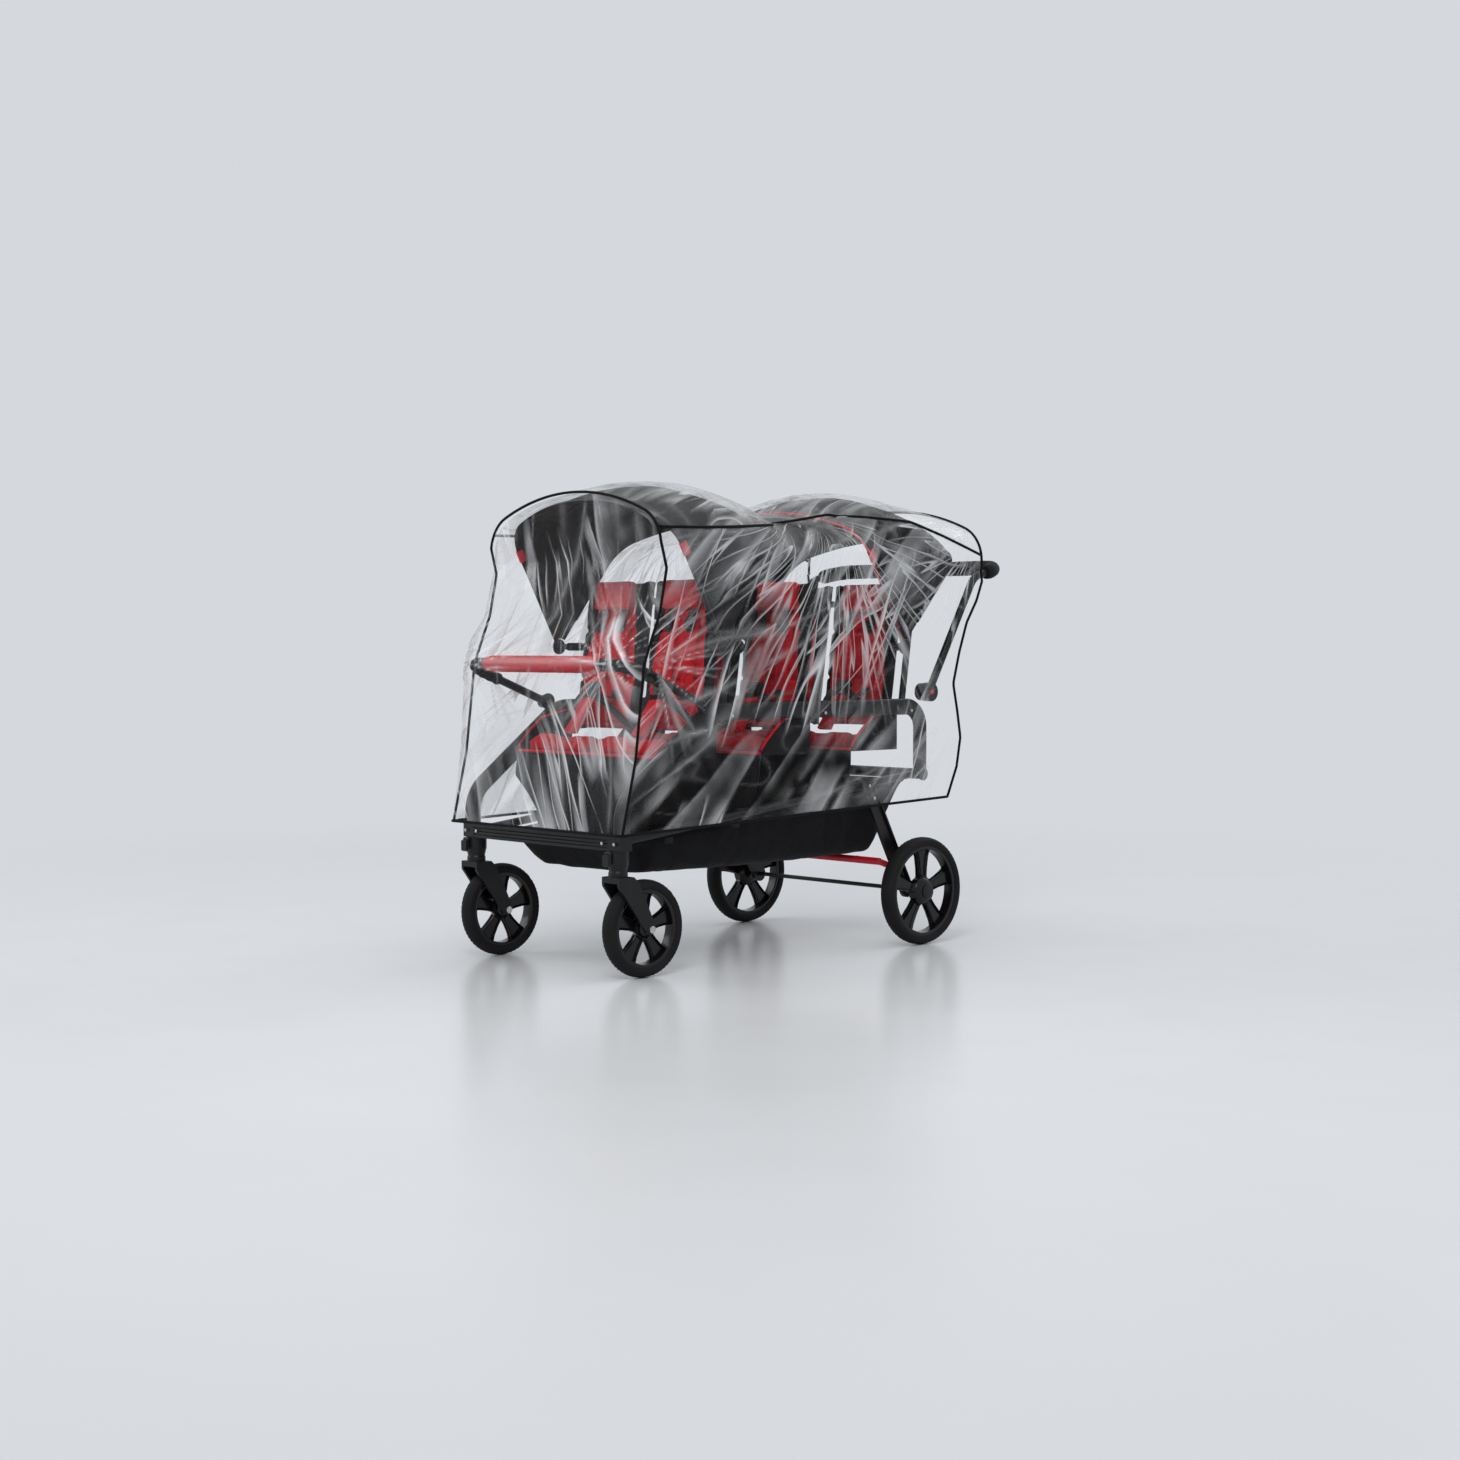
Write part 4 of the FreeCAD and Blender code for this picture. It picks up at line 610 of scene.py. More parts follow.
def solid(verts: Sequence[Vector], faces: Sequence[Sequence[int]]) -> bpy.types.Object:
    """An object from corners and faces, with its faces turned outwards.

    Args:
        verts: the corners.
        faces: corner numbers of each face.

    Returns:
        The new object.
    """
    mesh = bpy.data.meshes.new("shape")
    mesh.from_pydata([tuple(v) for v in verts], [], [tuple(f) for f in faces])
    mesh.validate()
    piece = bpy.data.objects.new("shape", mesh)
    bpy.context.scene.collection.objects.link(piece)
    shell = bmesh.new()
    shell.from_mesh(mesh)
    bmesh.ops.recalc_face_normals(shell, faces=shell.faces)
    shell.to_mesh(mesh)
    shell.free()
    return piece


def woven(grid: Grid, closed: bool = False) -> Shape:
    """Corners and faces of a grid of points.

    Args:
        grid: rows of points.
        closed: whether each row joins its own start.

    Returns:
        Corners and faces.
    """
    wide = len(grid[0])
    verts = [point for line in grid for point in line]
    faces = []
    for row in range(len(grid) - 1):
        for column in range(wide if closed else wide - 1):
            following = (column + 1) % wide
            faces.append((row * wide + column, row * wide + following, (row + 1) * wide + following,
                          (row + 1) * wide + column))
    return verts, faces


def resampled(points: Sequence[Vector], count: int) -> list[Vector]:
    """Points at even distances along a line.

    Args:
        points: the line.
        count: how many points to return.

    Returns:
        The evenly spaced points.
    """
    lengths = [0.0]
    for first, second in zip(points, points[1:]):
        lengths.append(lengths[-1] + (second - first).length)
    found, index = [], 0
    for number in range(count):
        want = lengths[-1] * number / (count - 1)
        while index < len(points) - 2 and lengths[index + 1] < want:
            index += 1
        span = max(lengths[index + 1] - lengths[index], 1e-9)
        found.append(points[index].lerp(points[index + 1], min(1.0, (want - lengths[index]) / span)))
    return found


def bent(points: Sequence[Sequence[float]], radii: Sequence[float], steps: int = 10) -> list[Vector]:
    """A line whose inner corners are rounded.

    Args:
        points: the corners.
        radii: one radius for each inner corner.
        steps: points on each bend.

    Returns:
        The rounded line.
    """
    corners = [Vector(point) for point in points]
    line = [corners[0]]
    for before, corner, after, radius in zip(corners, corners[1:], corners[2:], radii):
        incoming, outgoing = (corner - before).normalized(), (after - corner).normalized()
        turn = incoming.angle(outgoing)
        setback = radius * math.tan(turn / 2)
        middle = corner + (outgoing - incoming).normalized() * (radius / math.cos(turn / 2))
        first = corner - incoming * setback
        axis = incoming.cross(outgoing).normalized()
        for step in range(steps + 1):
            line.append(middle + Matrix.Rotation(turn * step / steps, 3, axis) @ (first - middle))
    return line + [corners[-1]]


def ring(radius: float, count: int = 20) -> list[tuple[float, float]]:
    """A round section."""
    return [(radius * math.cos(2 * math.pi * k / count), radius * math.sin(2 * math.pi * k / count))
            for k in range(count)]


def rounded(width: float, height: float, corner: float, steps: int = 5) -> list[tuple[float, float]]:
    """A section with round corners.

    Args:
        width: across.
        height: up.
        corner: corner radius.
        steps: points on each corner.

    Returns:
        The section's points, counter-clockwise.
    """
    found = []
    for quarter, (sx, sy) in enumerate(((1, 1), (-1, 1), (-1, -1), (1, -1))):
        for step in range(steps + 1):
            angle = math.pi / 2 * (quarter + step / steps)
            found.append((sx * (width / 2 - corner) + corner * math.cos(angle),
                          sy * (height / 2 - corner) + corner * math.sin(angle)))
    return found


def swept(path: Sequence[Vector], section: Sequence[tuple[float, float]], side: Vector,
          width: Callable[[float], float] | None = None) -> Shape:
    """A section carried along a line without twisting.

    Args:
        path: the line.
        section: points across it; the first coordinate follows side.
        side: the direction of the section's first coordinate at the start.
        width: how wide the section is at each share of the line.

    Returns:
        Corners and faces of the closed shape.
    """
    across = side.copy()
    grid: Grid = []
    for index, point in enumerate(path):
        ahead = (path[min(index + 1, len(path) - 1)] - path[max(index - 1, 0)]).normalized()
        across = (across - ahead * across.dot(ahead)).normalized()
        upward = ahead.cross(across)
        factor = width(index / (len(path) - 1)) if width else 1.0
        grid.append([point + across * (a * factor) + upward * (b * factor) for a, b in section])
    verts, faces = woven(grid, closed=True)
    count = len(section)
    faces.append(tuple(range(count)))
    faces.append(tuple(range(len(verts) - count, len(verts)))[::-1])
    return verts, faces


def tube(path: Sequence[Vector], radius: float, side: Vector = X_AXIS, count: int = 20) -> bpy.types.Object:
    """A round tube along a line."""
    return solid(*swept(path, ring(radius, count), side))


def joined(pieces: Sequence[bpy.types.Object]) -> bpy.types.Object:
    """One object from several."""
    clear_selection()
    for piece in pieces:
        piece.select_set(True)
    bpy.context.view_layer.objects.active = pieces[0]
    bpy.ops.object.join()
    return bpy.context.view_layer.objects.active


def discard(*models: bpy.types.Object) -> None:
    """Remove the models whose copies are in place."""
    for model in models:
        bpy.data.objects.remove(model)


def mirror(piece: bpy.types.Object) -> None:
    """Turn a piece into its own mirror image across the stroller's middle plane."""
    piece.data.transform(Matrix.Diagonal((-1, 1, 1, 1)))
    piece.data.flip_normals()


def thicken(piece: bpy.types.Object, thickness: float) -> None:
    """Give a sheet a wall, laid on the inner side of its surface."""
    wall = piece.modifiers.new("wall", "SOLIDIFY")
    wall.thickness, wall.offset = thickness, -1.0
    apply_all(piece)


def twin(piece: bpy.types.Object, offset: Sequence[float]) -> bpy.types.Object:
    """A moved copy with its own mesh."""
    mesh = piece.data.copy()
    mesh.transform(Matrix.Translation(Vector(offset)))
    copy = bpy.data.objects.new(piece.name, mesh)
    bpy.context.scene.collection.objects.link(copy)
    return copy


def lathe(profile: Sequence[tuple[float, float]], centre: Sequence[float], steps: int) -> bpy.types.Object:
    """A ring or hub turned about the X axis by spinning its profile.

    Args:
        profile: (along X, radius) points of the closed outline.
        centre: the wheel's centre.
        steps: how many steps make the full turn.

    Returns:
        The new object.
    """
    clear_selection()
    mesh = bpy.data.meshes.new("lathe")
    count = len(profile)
    mesh.from_pydata([(a, 0, b) for a, b in profile], [(k, (k + 1) % count) for k in range(count)], [])
    piece = bpy.data.objects.new("lathe", mesh)
    bpy.context.scene.collection.objects.link(piece)
    hold(piece)
    bpy.ops.object.mode_set(mode="EDIT")
    bpy.ops.mesh.select_all(action="SELECT")
    bpy.ops.mesh.spin(steps=steps, angle=2 * math.pi, center=(0, 0, 0), axis=(1, 0, 0))
    bpy.ops.mesh.select_all(action="SELECT")
    bpy.ops.mesh.remove_doubles(threshold=1e-5)
    bpy.ops.mesh.normals_make_consistent(inside=False)
    bpy.ops.object.mode_set(mode="OBJECT")
    piece.location = centre
    settle(piece)
    return piece


def block(centre: Sequence[float], size: Sequence[float], bevel: float,
          segments: int = 3) -> bpy.types.Object:
    """A moulded block: a cube at its size, its edges bevelled in edit mode.

    Args:
        centre: its place.
        size: its three lengths.
        bevel: edge radius.
        segments: steps of the bevel.

    Returns:
        The new object.
    """
    clear_selection()
    bpy.ops.mesh.primitive_cube_add(size=1, location=centre)
    piece = bpy.context.object
    piece.scale = size
    bpy.ops.object.transform_apply(location=False, rotation=False, scale=True)
    bpy.ops.object.mode_set(mode="EDIT")
    bpy.ops.mesh.select_all(action="SELECT")
    bpy.ops.mesh.bevel(offset=bevel, segments=segments, affect="EDGES")
    bpy.ops.object.mode_set(mode="OBJECT")
    settle(piece)
    return piece


def knob(centre: Sequence[float], radius: float, depth: float, axis: str,
         sign: int = 1) -> bpy.types.Object:
    """A domed head: a disc whose outer face is drawn in by two insets and raised.

    Args:
        centre: middle of its seat.
        radius: its radius.
        depth: its height.
        axis: the axis it faces along.
        sign: which way it faces.

    Returns:
        The new object.
    """
    clear_selection()
    wall = depth * 0.6
    bpy.ops.mesh.primitive_cylinder_add(vertices=28, radius=radius, depth=wall, location=(0, 0, wall / 2))
    piece = bpy.context.object
    bpy.ops.object.transform_apply(location=True)
    bpy.ops.object.mode_set(mode="EDIT")
    bpy.ops.mesh.select_all(action="DESELECT")
    shell = bmesh.from_edit_mesh(piece.data)
    for face in shell.faces:
        face.select = face.normal.z > 0.9
    bmesh.update_edit_mesh(piece.data)
    for share, rise in ((0.35, 0.25), (0.5, 0.15)):
        bpy.ops.mesh.inset(thickness=radius * KNOB_DOME * share)
        bpy.ops.transform.translate(value=(0, 0, depth * rise))
    bpy.ops.object.mode_set(mode="OBJECT")
    turns = {"X": Matrix.Rotation(math.pi / 2 * sign, 4, "Y"),
             "Y": Matrix.Rotation(-math.pi / 2 * sign, 4, "X"),
             "Z": Matrix.Rotation(0 if sign > 0 else math.pi, 4, "X")}
    piece.data.transform(Matrix.Translation(Vector(centre)) @ turns[axis])
    return piece


def ridged(place: Vector, seed: float) -> float:
    """Sharp-crested noise from 0 to 1."""
    return max(0.0, 1.0 - abs(noise.noise(place + Vector((seed, seed * 0.7, 0)))) * 3.2)


def hood_arch(half: float, crown: float, corner: float, base: float, count: int) -> list[Vector]:
    """Even points on a hood's arch, seen from the front, as (x, 0, height).

    Args:
        half: half of its width.
        crown: its height at the middle.
        corner: radius of its shoulders.
        base: where its walls start.
        count: number of points.

    Returns:
        The points from the left foot to the right one.
    """
    shoulder_x = half - corner * (1 - math.sin(HOOD_SLOPE))
    shoulder_z = crown - shoulder_x * math.tan(HOOD_SLOPE / 2)
    wall = shoulder_z - corner * math.cos(HOOD_SLOPE)
    right = [Vector((half, 0, z)) for z in evenly(base, wall, 12)]
    for angle in evenly(0.0, math.pi / 2 - HOOD_SLOPE, 12)[1:]:
        right.append(Vector((half - corner + corner * math.cos(angle), 0, wall + corner * math.sin(angle))))
    radius = (shoulder_x ** 2 + (crown - shoulder_z) ** 2) / (2 * (crown - shoulder_z))
    for angle in evenly(math.asin(shoulder_x / radius), 0.0, 24)[1:]:
        right.append(Vector((radius * math.sin(angle), 0, crown - radius + radius * math.cos(angle))))
    left = [Vector((-p.x, 0, p.z)) for p in right]
    return resampled(left + right[-2::-1], count)


# Running gear
@dataclass
class Wheel:
    """A spoked wheel with its tyre."""

    name: str
    side: Side
    track: float
    distance: float
    diameter: float
    width: float
    hub: float
    tread: int = 60
    tyre_depth: float = 0.027
    rim_wall: float = 0.008
    spokes: int = 5
    spoke_width: float = 0.029
    spoke_depth: float = 0.020

    def centre(self) -> Vector:
        """The wheel's centre."""
        return Vector((self.track / 2 * self.side.value, along(self.distance), self.diameter / 2))

    def build(self) -> None:
        """Make the rim, its spokes, the hub and the tyre."""
        body = "%s_wheel_%s" % (self.name, self.side.word)
        label = "%s_tyre_%s" % (self.name, self.side.word)
        dress(self.wheel(), "spoked_" + body, body, GLOSS, nodes=[body])
        dress(self.tyre(), "round_" + label, body, TYRE, nodes=[label])
        outside = X_AXIS * (self.width * 0.52 * self.side.value)
        cap = knob(self.centre() + outside, self.hub * 0.27, 0.0045, "X", self.side.value)
        dress(cap, body + "_hub_cap", body, PLASTIC)

    def wheel(self) -> bpy.types.Object:
        """The rim, hub and five dished spokes as one moulding."""
        inner = self.diameter / 2 - self.tyre_depth
        wall = inner - self.rim_wall
        rim_side = [(0.74, inner + 0.004), (0.74, wall + 0.002), (0.66, wall), (0.3, wall - 0.001)]
        seat = [(0.6, inner)]
        rim = lathe(self.both_ways(rim_side) + self.both_ways(seat)[::-1], self.centre(), 96)
        bore, radius = 0.004, self.hub / 2
        hub_side = [(1.0, bore), (1.0, radius * 0.62), (0.72, radius * 0.9), (0.5, radius)]
        hub = lathe(self.both_ways(hub_side), self.centre(), 48)
        return joined([rim, hub] + [self.spoke(k, wall) for k in range(self.spokes)])

    def both_ways(self, outline: Sequence[tuple[float, float]]) -> list[tuple[float, float]]:
        """A profile from its left half.

        Args:
            outline: (share of the half width, radius) points from the rim to the middle.

        Returns:
            The (along X, radius) points from left to right.
        """
        half = self.width / 2
        return [(-half * share, radius) for share, radius in outline] + [
            (half * share, radius) for share, radius in outline[::-1]]

    def spoke(self, number: int, wall: float) -> bpy.types.Object:
        """A broad dished blade: a bar extruded from the hub, widened to the rim, its faces pressed in."""
        piece = block((0, 0, self.hub * 0.45), (self.spoke_depth, self.spoke_width, 0.012), 0.002, segments=2)
        bpy.ops.object.mode_set(mode="EDIT")
        bpy.ops.mesh.select_all(action="DESELECT")
        shell = bmesh.from_edit_mesh(piece.data)
        top = max(v.co.z for v in shell.verts)
        for face in shell.faces:
            face.select = face.normal.z > 0.9 and face.calc_center_median().z > top - 0.001
        bmesh.update_edit_mesh(piece.data)
        run = wall - top + 0.003
        flares = ((0.3, 1.1), (0.4, 1.32), (0.3, 1.4))
        for share, flare in flares:
            bpy.ops.mesh.extrude_region_move(TRANSFORM_OT_translate={"value": (0, 0, run * share)})
            bpy.ops.transform.resize(value=(1, flare, 1))
        for way in (-1, 1):
            bpy.ops.mesh.select_all(action="DESELECT")
            shell = bmesh.from_edit_mesh(piece.data)
            for face in shell.faces:
                face.select = face.normal.x * way > 0.98 and face.calc_center_median().z > top - 0.009
            bmesh.update_edit_mesh(piece.data)
            bpy.ops.mesh.inset(thickness=0.0035, depth=-0.007)
        bpy.ops.object.mode_set(mode="OBJECT")
        turn = Matrix.Rotation(2 * math.pi * number / self.spokes, 4, "X")
        piece.data.transform(Matrix.Translation(self.centre()) @ turn)
        return piece

    def tyre(self) -> bpy.types.Object:
        """A round-shouldered tyre with a centre rib and cross lugs."""
        half, outer = self.width / 2, self.diameter / 2
        inner = outer - self.tyre_depth
        bead = [(-half * 0.62, inner), (-half * 0.86, inner + 0.003), (-half, inner + 0.011)]
        shoulder, steps = inner + 0.0125, 9
        crown = []
        for k in range(steps + 1):
            angle = math.pi * (1 - k / steps)
            lift = math.sin(angle) ** 0.7 if 0 < k < steps else 0.0
            crown.append((half * 0.99 * math.cos(angle), shoulder + (outer - shoulder) * lift))
        profile = bead + crown + [(-x, radius) for x, radius in bead[::-1]]
        piece = lathe(profile, (0, 0, 0), self.tread * 2)
        tread_depth, groove = 0.006, 0.0014
        for vert in piece.data.vertices:
            radius = math.hypot(vert.co.y, vert.co.z)
            if radius > outer - tread_depth and abs(vert.co.x) > half * 0.2:
                turn = math.atan2(vert.co.y, vert.co.z) / (2 * math.pi) * self.tread
                if turn % 1.0 > 0.5:
                    vert.co.yz *= 1 - groove / radius
        piece.location = self.centre()
        settle(piece)
        return piece


@dataclass
class RunningGear:
    """Wheels, caster collars, leg rivets and the foot bar."""

    leg_x: float = 0.3108
    foot_bar_half: float = 0.2955

    def build(self) -> None:
        """Make the four wheels and the small pieces round them."""
        for side in Side:
            Wheel("front", side, track=FRONT_TRACK, distance=0.0, diameter=0.252, width=0.044,
                  hub=0.046).build()
            Wheel("rear", side, track=REAR_TRACK, distance=REAR_AXLE, diameter=0.305, width=0.046, hub=0.078,
                  tread=70, spoke_depth=0.022).build()
            self.collar(side)
            self.rivets(side)
        self.foot_bar()

    def collar(self, side: Side) -> None:
        """The collar under a caster's housing."""
        body = "caster_" + side.word
        low, edge, high, inner, outer = 0.2565, 0.2605, 0.2635, 0.0235, 0.0262
        piece = lathe([(low, inner), (edge, outer), (high, outer), (high, inner)], (0, 0, 0), 48)
        piece.data.transform(Matrix.Rotation(-math.pi / 2, 4, "Y"))
        piece.location = (FRONT_TRACK / 2 * side.value, along(-CASTER_TRAIL), 0)
        dress(piece, body + "_collar", body, PLASTIC)

    def rivets(self, side: Side) -> None:
        """Bright rivets on the rear leg's outer face."""
        x = self.leg_x * side.value
        top, axle = Vector((x, along(0.834), 0.4560)), Vector((x, along(REAR_AXLE), 0.1525))
        heads = [knob(top.lerp(axle, share), 0.0048, 0.0022, "X", side.value) for share in (0, 0.12)]
        dress(joined(heads), "leg_rivets_" + side.word, "chassis", STEEL)

    def foot_bar(self) -> None:
        """The red foot bar with a row of small grip studs on top."""
        y, z = along(0.892), 0.238
        line = [Vector((x, y, z)) for x in evenly(-self.foot_bar_half, self.foot_bar_half, 40)]
        bar = tube(line, 0.0102, Z_AXIS, 24)
        ribs = [knob((0.07 * k, y, z + 0.0088), 0.004, 0.0018, "Z") for k in range(-3, 4)]
        dress(joined([bar] + ribs), "red_foot_bar", "brake", RED_PLASTIC)


# Frame
@dataclass
class FrameTubes:
    """The bent tubes: side frames, back frames, handle and bumper."""

    frame_x: float = 0.309
    frame_top: float = 0.675
    frame_depth: float = 0.046
    frame_thick: float = 0.020
    handle_x: float = 0.331
    bumper_x: float = 0.335
    bar_radius: float = 0.0112

    def build(self) -> None:
        """Make all the tubes in the order they are bolted up."""
        for side in Side:
            self.side_frame(side)
        for row in Row:
            self.back_frame(row)
        self.handle()
        self.bumper()
        self.fasteners()

    def side_frame(self, side: Side) -> None:
        """The flat oval tube that carries the seats."""
        x = self.frame_x * side.value
        front, rear = along(-CASTER_TRAIL), along(1.046)
        corners = [(x, front, 0.366), (x, front, 0.446), (x, along(0.214), self.frame_top),
                   (x, rear, self.frame_top), (x, rear, 0.4965)]
        path = bent(corners, (0.095, 0.110, 0.060), 14)
        shape = swept(path, rounded(self.frame_thick, self.frame_depth, 0.0085), X_AXIS)
        dress(solid(*shape), "oval_side_frame_" + side.word, "chassis", TUBE,
              nodes=["side_frame_" + side.word])

    def back_frame(self, row: Row) -> None:
        """The inverted U behind a pair of seats, with its hood hinge plates where it has them."""
        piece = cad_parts["back_frame_" + row.word]
        base = Vector((0, along(row.value + BACK_FOOT), BACK_FOOT_Z))
        rise = Vector((0, math.sin(BACK_LEAN), math.cos(BACK_LEAN)))
        behind = Y_AXIS * 0.0099
        foot = behind + rise * (0.070 / rise.z)
        head = behind + rise * 0.369
        right = X_AXIS * 0.285
        points = [base - right + foot, base - right + head, base + right + head, base + right + foot]
        bow = tube(bent(points, (0.070, 0.070), 12), 0.0096, X_AXIS, 20)
        dress(bow, "back_tube_" + row.word, "chassis", TUBE)
        piece.data.materials.clear()
        piece.data.materials.append(TUBE.material())

    def handle(self) -> None:
        """The push handle: a bent bar with its foam grip and hinge covers."""
        x = self.handle_x
        left = [(-x, along(1.0664), 0.7285), (-x, along(1.256), 1.050), (-x, along(1.378), 1.079)]
        right = [(-a, b, c) for a, b, c in left[::-1]]
        path = bent(left + right, (0.070, 0.062, 0.062, 0.070), 14)
        dress(tube(path, self.bar_radius), "bent_handle_bar", "handle", TUBE)
        knee, end = Vector(left[1]), Vector(left[2])
        start = knee.lerp(end, 0.42)
        grip_points = [start, end, Vector((x, end.y, end.z)), Vector((x, start.y, start.z))]

        def swell(share: float) -> float:
            """The grip's fatness along the bar: rounded ends and shallow finger ribs."""
            return 1 - 0.1 * max(0.0, 1 - min(share, 1 - share) * 60) + 0.012 * math.sin(share * 150)

        grip_line = resampled(bent(grip_points, (0.062, 0.062), 14), 160)
        grip = solid(*swept(grip_line, ring(0.0217, 28), X_AXIS, swell))
        dress(grip, "foam_grip", "handle", FOAM, Face.SMOOTH, ["handle_grip"])
        for side in Side:
            cover = lathe([(0.3205, 0.012), (0.3205, 0.0262), (0.337, 0.0268), (0.341, 0.0245),
                           (0.3424, 0.0215), (0.3426, 0.0082), (0.3405, 0.0078), (0.3405, 0.012)],
                          (0, along(1.059), 0.716), 56)
            if side is Side.LEFT:
                mirror(cover)
            dress(cover, "handle_hinge_cover_" + side.word, "handle", PLASTIC)

    def bumper(self) -> None:
        """The bumper bar with a padded red sleeve and two gathered black ends."""
        x, reach, rise = self.bumper_x, 0.276, 0.108
        y, z = along(0.190), 0.692
        points = [(-x, y, z), (-x, y - reach, z + rise), (x, y - reach, z + rise), (x, y, z)]
        path = bent(points, (0.072, 0.072), 16)
        dress(tube(path, self.bar_radius), "bent_bumper_bar", "bumper", TUBE)
        front = [Vector((across, y - reach, z + rise)) for across in evenly(-0.236, 0.236, 120)]

        def swell(share: float) -> float:
            """The sleeve's fatness along the bar."""
            end = min(share, 1 - share)
            return 0.86 + 0.14 * min(1.0, end * 18) + 0.012 * math.sin(share * 61) * math.sin(share * 23)

        sleeve = solid(*swept(front, ring(0.0222, 32), Y_AXIS, swell))
        dress(sleeve, "red_bumper_sleeve", "bumper", RED_CLOTH, Face.SMOOTH, ["bumper_grip"])
        lines = resampled(path, 400)
        for side in Side:
            end = [p for p in lines if p.x * side.value > 0.232 and p.y < y - 0.16]
            cuff = solid(*swept(end, ring(0.0160, 24), Z_AXIS, lambda share: 1 + 0.05 * math.sin(share * 48)))
            dress(cuff, "black_bumper_cuff_" + side.word, "bumper", BLACK_CLOTH, Face.SMOOTH)

    def fasteners(self) -> None:
        """Screw heads where the tubes are fixed together."""
        radius, depth = 0.0045, 0.0025
        for name, x in (("crossbar", self.frame_x), ("crossbar_inner", 0.262)):
            heads = [knob((x * hand, along(-0.1075), 0.348), radius, depth, "Y", -1) for hand in (-1, 1)]
            dress(joined(heads), name + "_screws", "chassis", STEEL)
        for row in Row:
            y = along(row.value + 0.295)
            heads = [knob((0.3192 * hand, y, 0.664), radius, depth, "X", hand) for hand in (-1, 1)]
            dress(joined(heads), "seat_bolts_" + row.word, "chassis", STEEL)


# Seats
@dataclass
class SeatRow:
    """A pair of seats: cloth tub with footwell, cushions, backs and head pads."""

    row: Row
    half: float = 0.2987

    def y(self, distance: float) -> float:
        """Y of a distance behind the row's start."""
        return along(self.row.value + distance)

    def build(self, seat_pad: bpy.types.Object, back_pad: bpy.types.Object,
              head_pad: bpy.types.Object) -> None:
        """Make the row.

        Args:
            seat_pad: the finished cushion at the origin.
            back_pad: the finished back at the origin, standing.
            head_pad: the finished head pad at the origin, standing.
        """
        self.tub()
        self.apron()
        word = self.row.word
        for side in Side:
            x, seat = SEAT_X * side.value, "%s_%s" % (word, side.word)
            cushion = twin(seat_pad, (x, self.y(SEAT_FRONT + SEAT_DEPTH / 2), SEAT_TOP - 0.0116))
            dress(cushion, "seat_cushion_" + seat, "chassis", RED_CLOTH, Face.SMOOTH,
                  ["seat_cushions_" + word])
            back = twin(back_pad, (x, self.y(BACK_FOOT), BACK_FOOT_Z))
            dress(back, "back_pad_" + seat, "chassis", RED_CLOTH, Face.SMOOTH, ["back_pads_" + word])
            two_tone(back, BLACK_CLOTH, lambda place, normal: self.is_border(place - X_AXIS * x, normal))
            head = twin(head_pad, (x, self.y(back_face(HEAD_PAD_Z)), HEAD_PAD_Z))
            dress(head, "head_pad_" + seat, "chassis", RED_CLOTH, Face.SMOOTH, ["head_pads"])

    @staticmethod
    def is_border(place: Vector, normal: Vector) -> bool:
        """Whether a spot of a back pad is its black border or its back: the red field narrows upwards."""
        narrowing = max(0.0, (place.z - BACK_FOOT_Z - 0.17) / 0.25)
        field = 0.104 - 0.036 * narrowing
        return normal.y > -0.25 or abs(place.x) > field

    def wing_line(self, share: float) -> float:
        """Height of the tub's side above the seat at a share of its depth."""
        return 0.012 + 0.082 * min(1.0, share / 0.45) ** 0.8 + 0.022 * max(0.0, (share - 0.45) / 0.55)

    def tub(self) -> None:
        """The tub's floor and wings as one folded cloth with its red binding."""
        low = SEAT_TOP - 0.018
        grid: Grid = []
        for share in evenly(0, 1, 24):
            y = self.y(SEAT_FRONT) + SEAT_DEPTH * share
            tall = self.wing_line(share)
            wing = evenly(low + tall, low, 8)[:-1]
            line = [Vector((-self.half, y, z)) for z in wing]
            line += [Vector((self.half * u, y, low - 0.002 * math.sin(math.pi * (u + 1) / 2)))
                     for u in evenly(-1, 1, 40)]
            line += [Vector((self.half, y, z)) for z in wing[::-1]]
            grid.append(line)
        piece = solid(*woven(grid))
        thicken(piece, 0.0034)
        word = self.row.word
        dress(piece, "cloth_tub_" + word, "chassis", BLACK_CLOTH, Face.EDGED, ["seat_tub_" + word])
        edge = self.y(SEAT_FRONT) - 0.001
        front = [Vector((x, edge, SEAT_TOP - 0.012)) for x in evenly(-self.half, self.half, 60)]
        bindings = [tube(front, 0.0042, Y_AXIS, 12)]
        for side in Side:
            x = (self.half + 0.001) * side.value
            line = [Vector((x, self.y(SEAT_FRONT) + SEAT_DEPTH * share, low + self.wing_line(share) + 0.001))
                    for share in evenly(0, 1, 24)]
            bindings.append(tube(line, 0.0036, X_AXIS, 10))
        dress(joined(bindings), "red_tub_binding_" + self.row.word, "chassis", RED_TRIM, Face.SMOOTH)

    def apron(self) -> None:
        """The cloth that hangs in front of the seat, tapering to the foot rest, with soft vertical folds."""
        low, drop, slope = 0.196, 0.216, 0.026
        top = SEAT_TOP - 0.015
        grid: Grid = []
        for share in evenly(0, 1, 32):
            taper = max(0.0, (share - 0.3) / 0.7)
            wide = self.half + (low - self.half) * taper
            lean = slope * (1.2 * taper - 0.2 * min(1.0, share / 0.3))
            line = []
            for x in evenly(-wide, wide, 80):
                held = math.sin(math.pi * min(1.0, share * 1.4))
                fold = 0.004 * math.sin(x * 46 + self.row.value * 9) * held
                fold += 0.003 * noise.noise(Vector((x * 14, share * 2.2, self.row.value * 7)))
                line.append(Vector((x, self.y(SEAT_FRONT) + lean + fold, top - drop * share)))
            grid.append(line)
        piece = solid(*woven(grid))
        thicken(piece, 0.003)
        dress(piece, "footwell_apron_" + self.row.word, "chassis", BLACK_CLOTH, Face.SMOOTH)


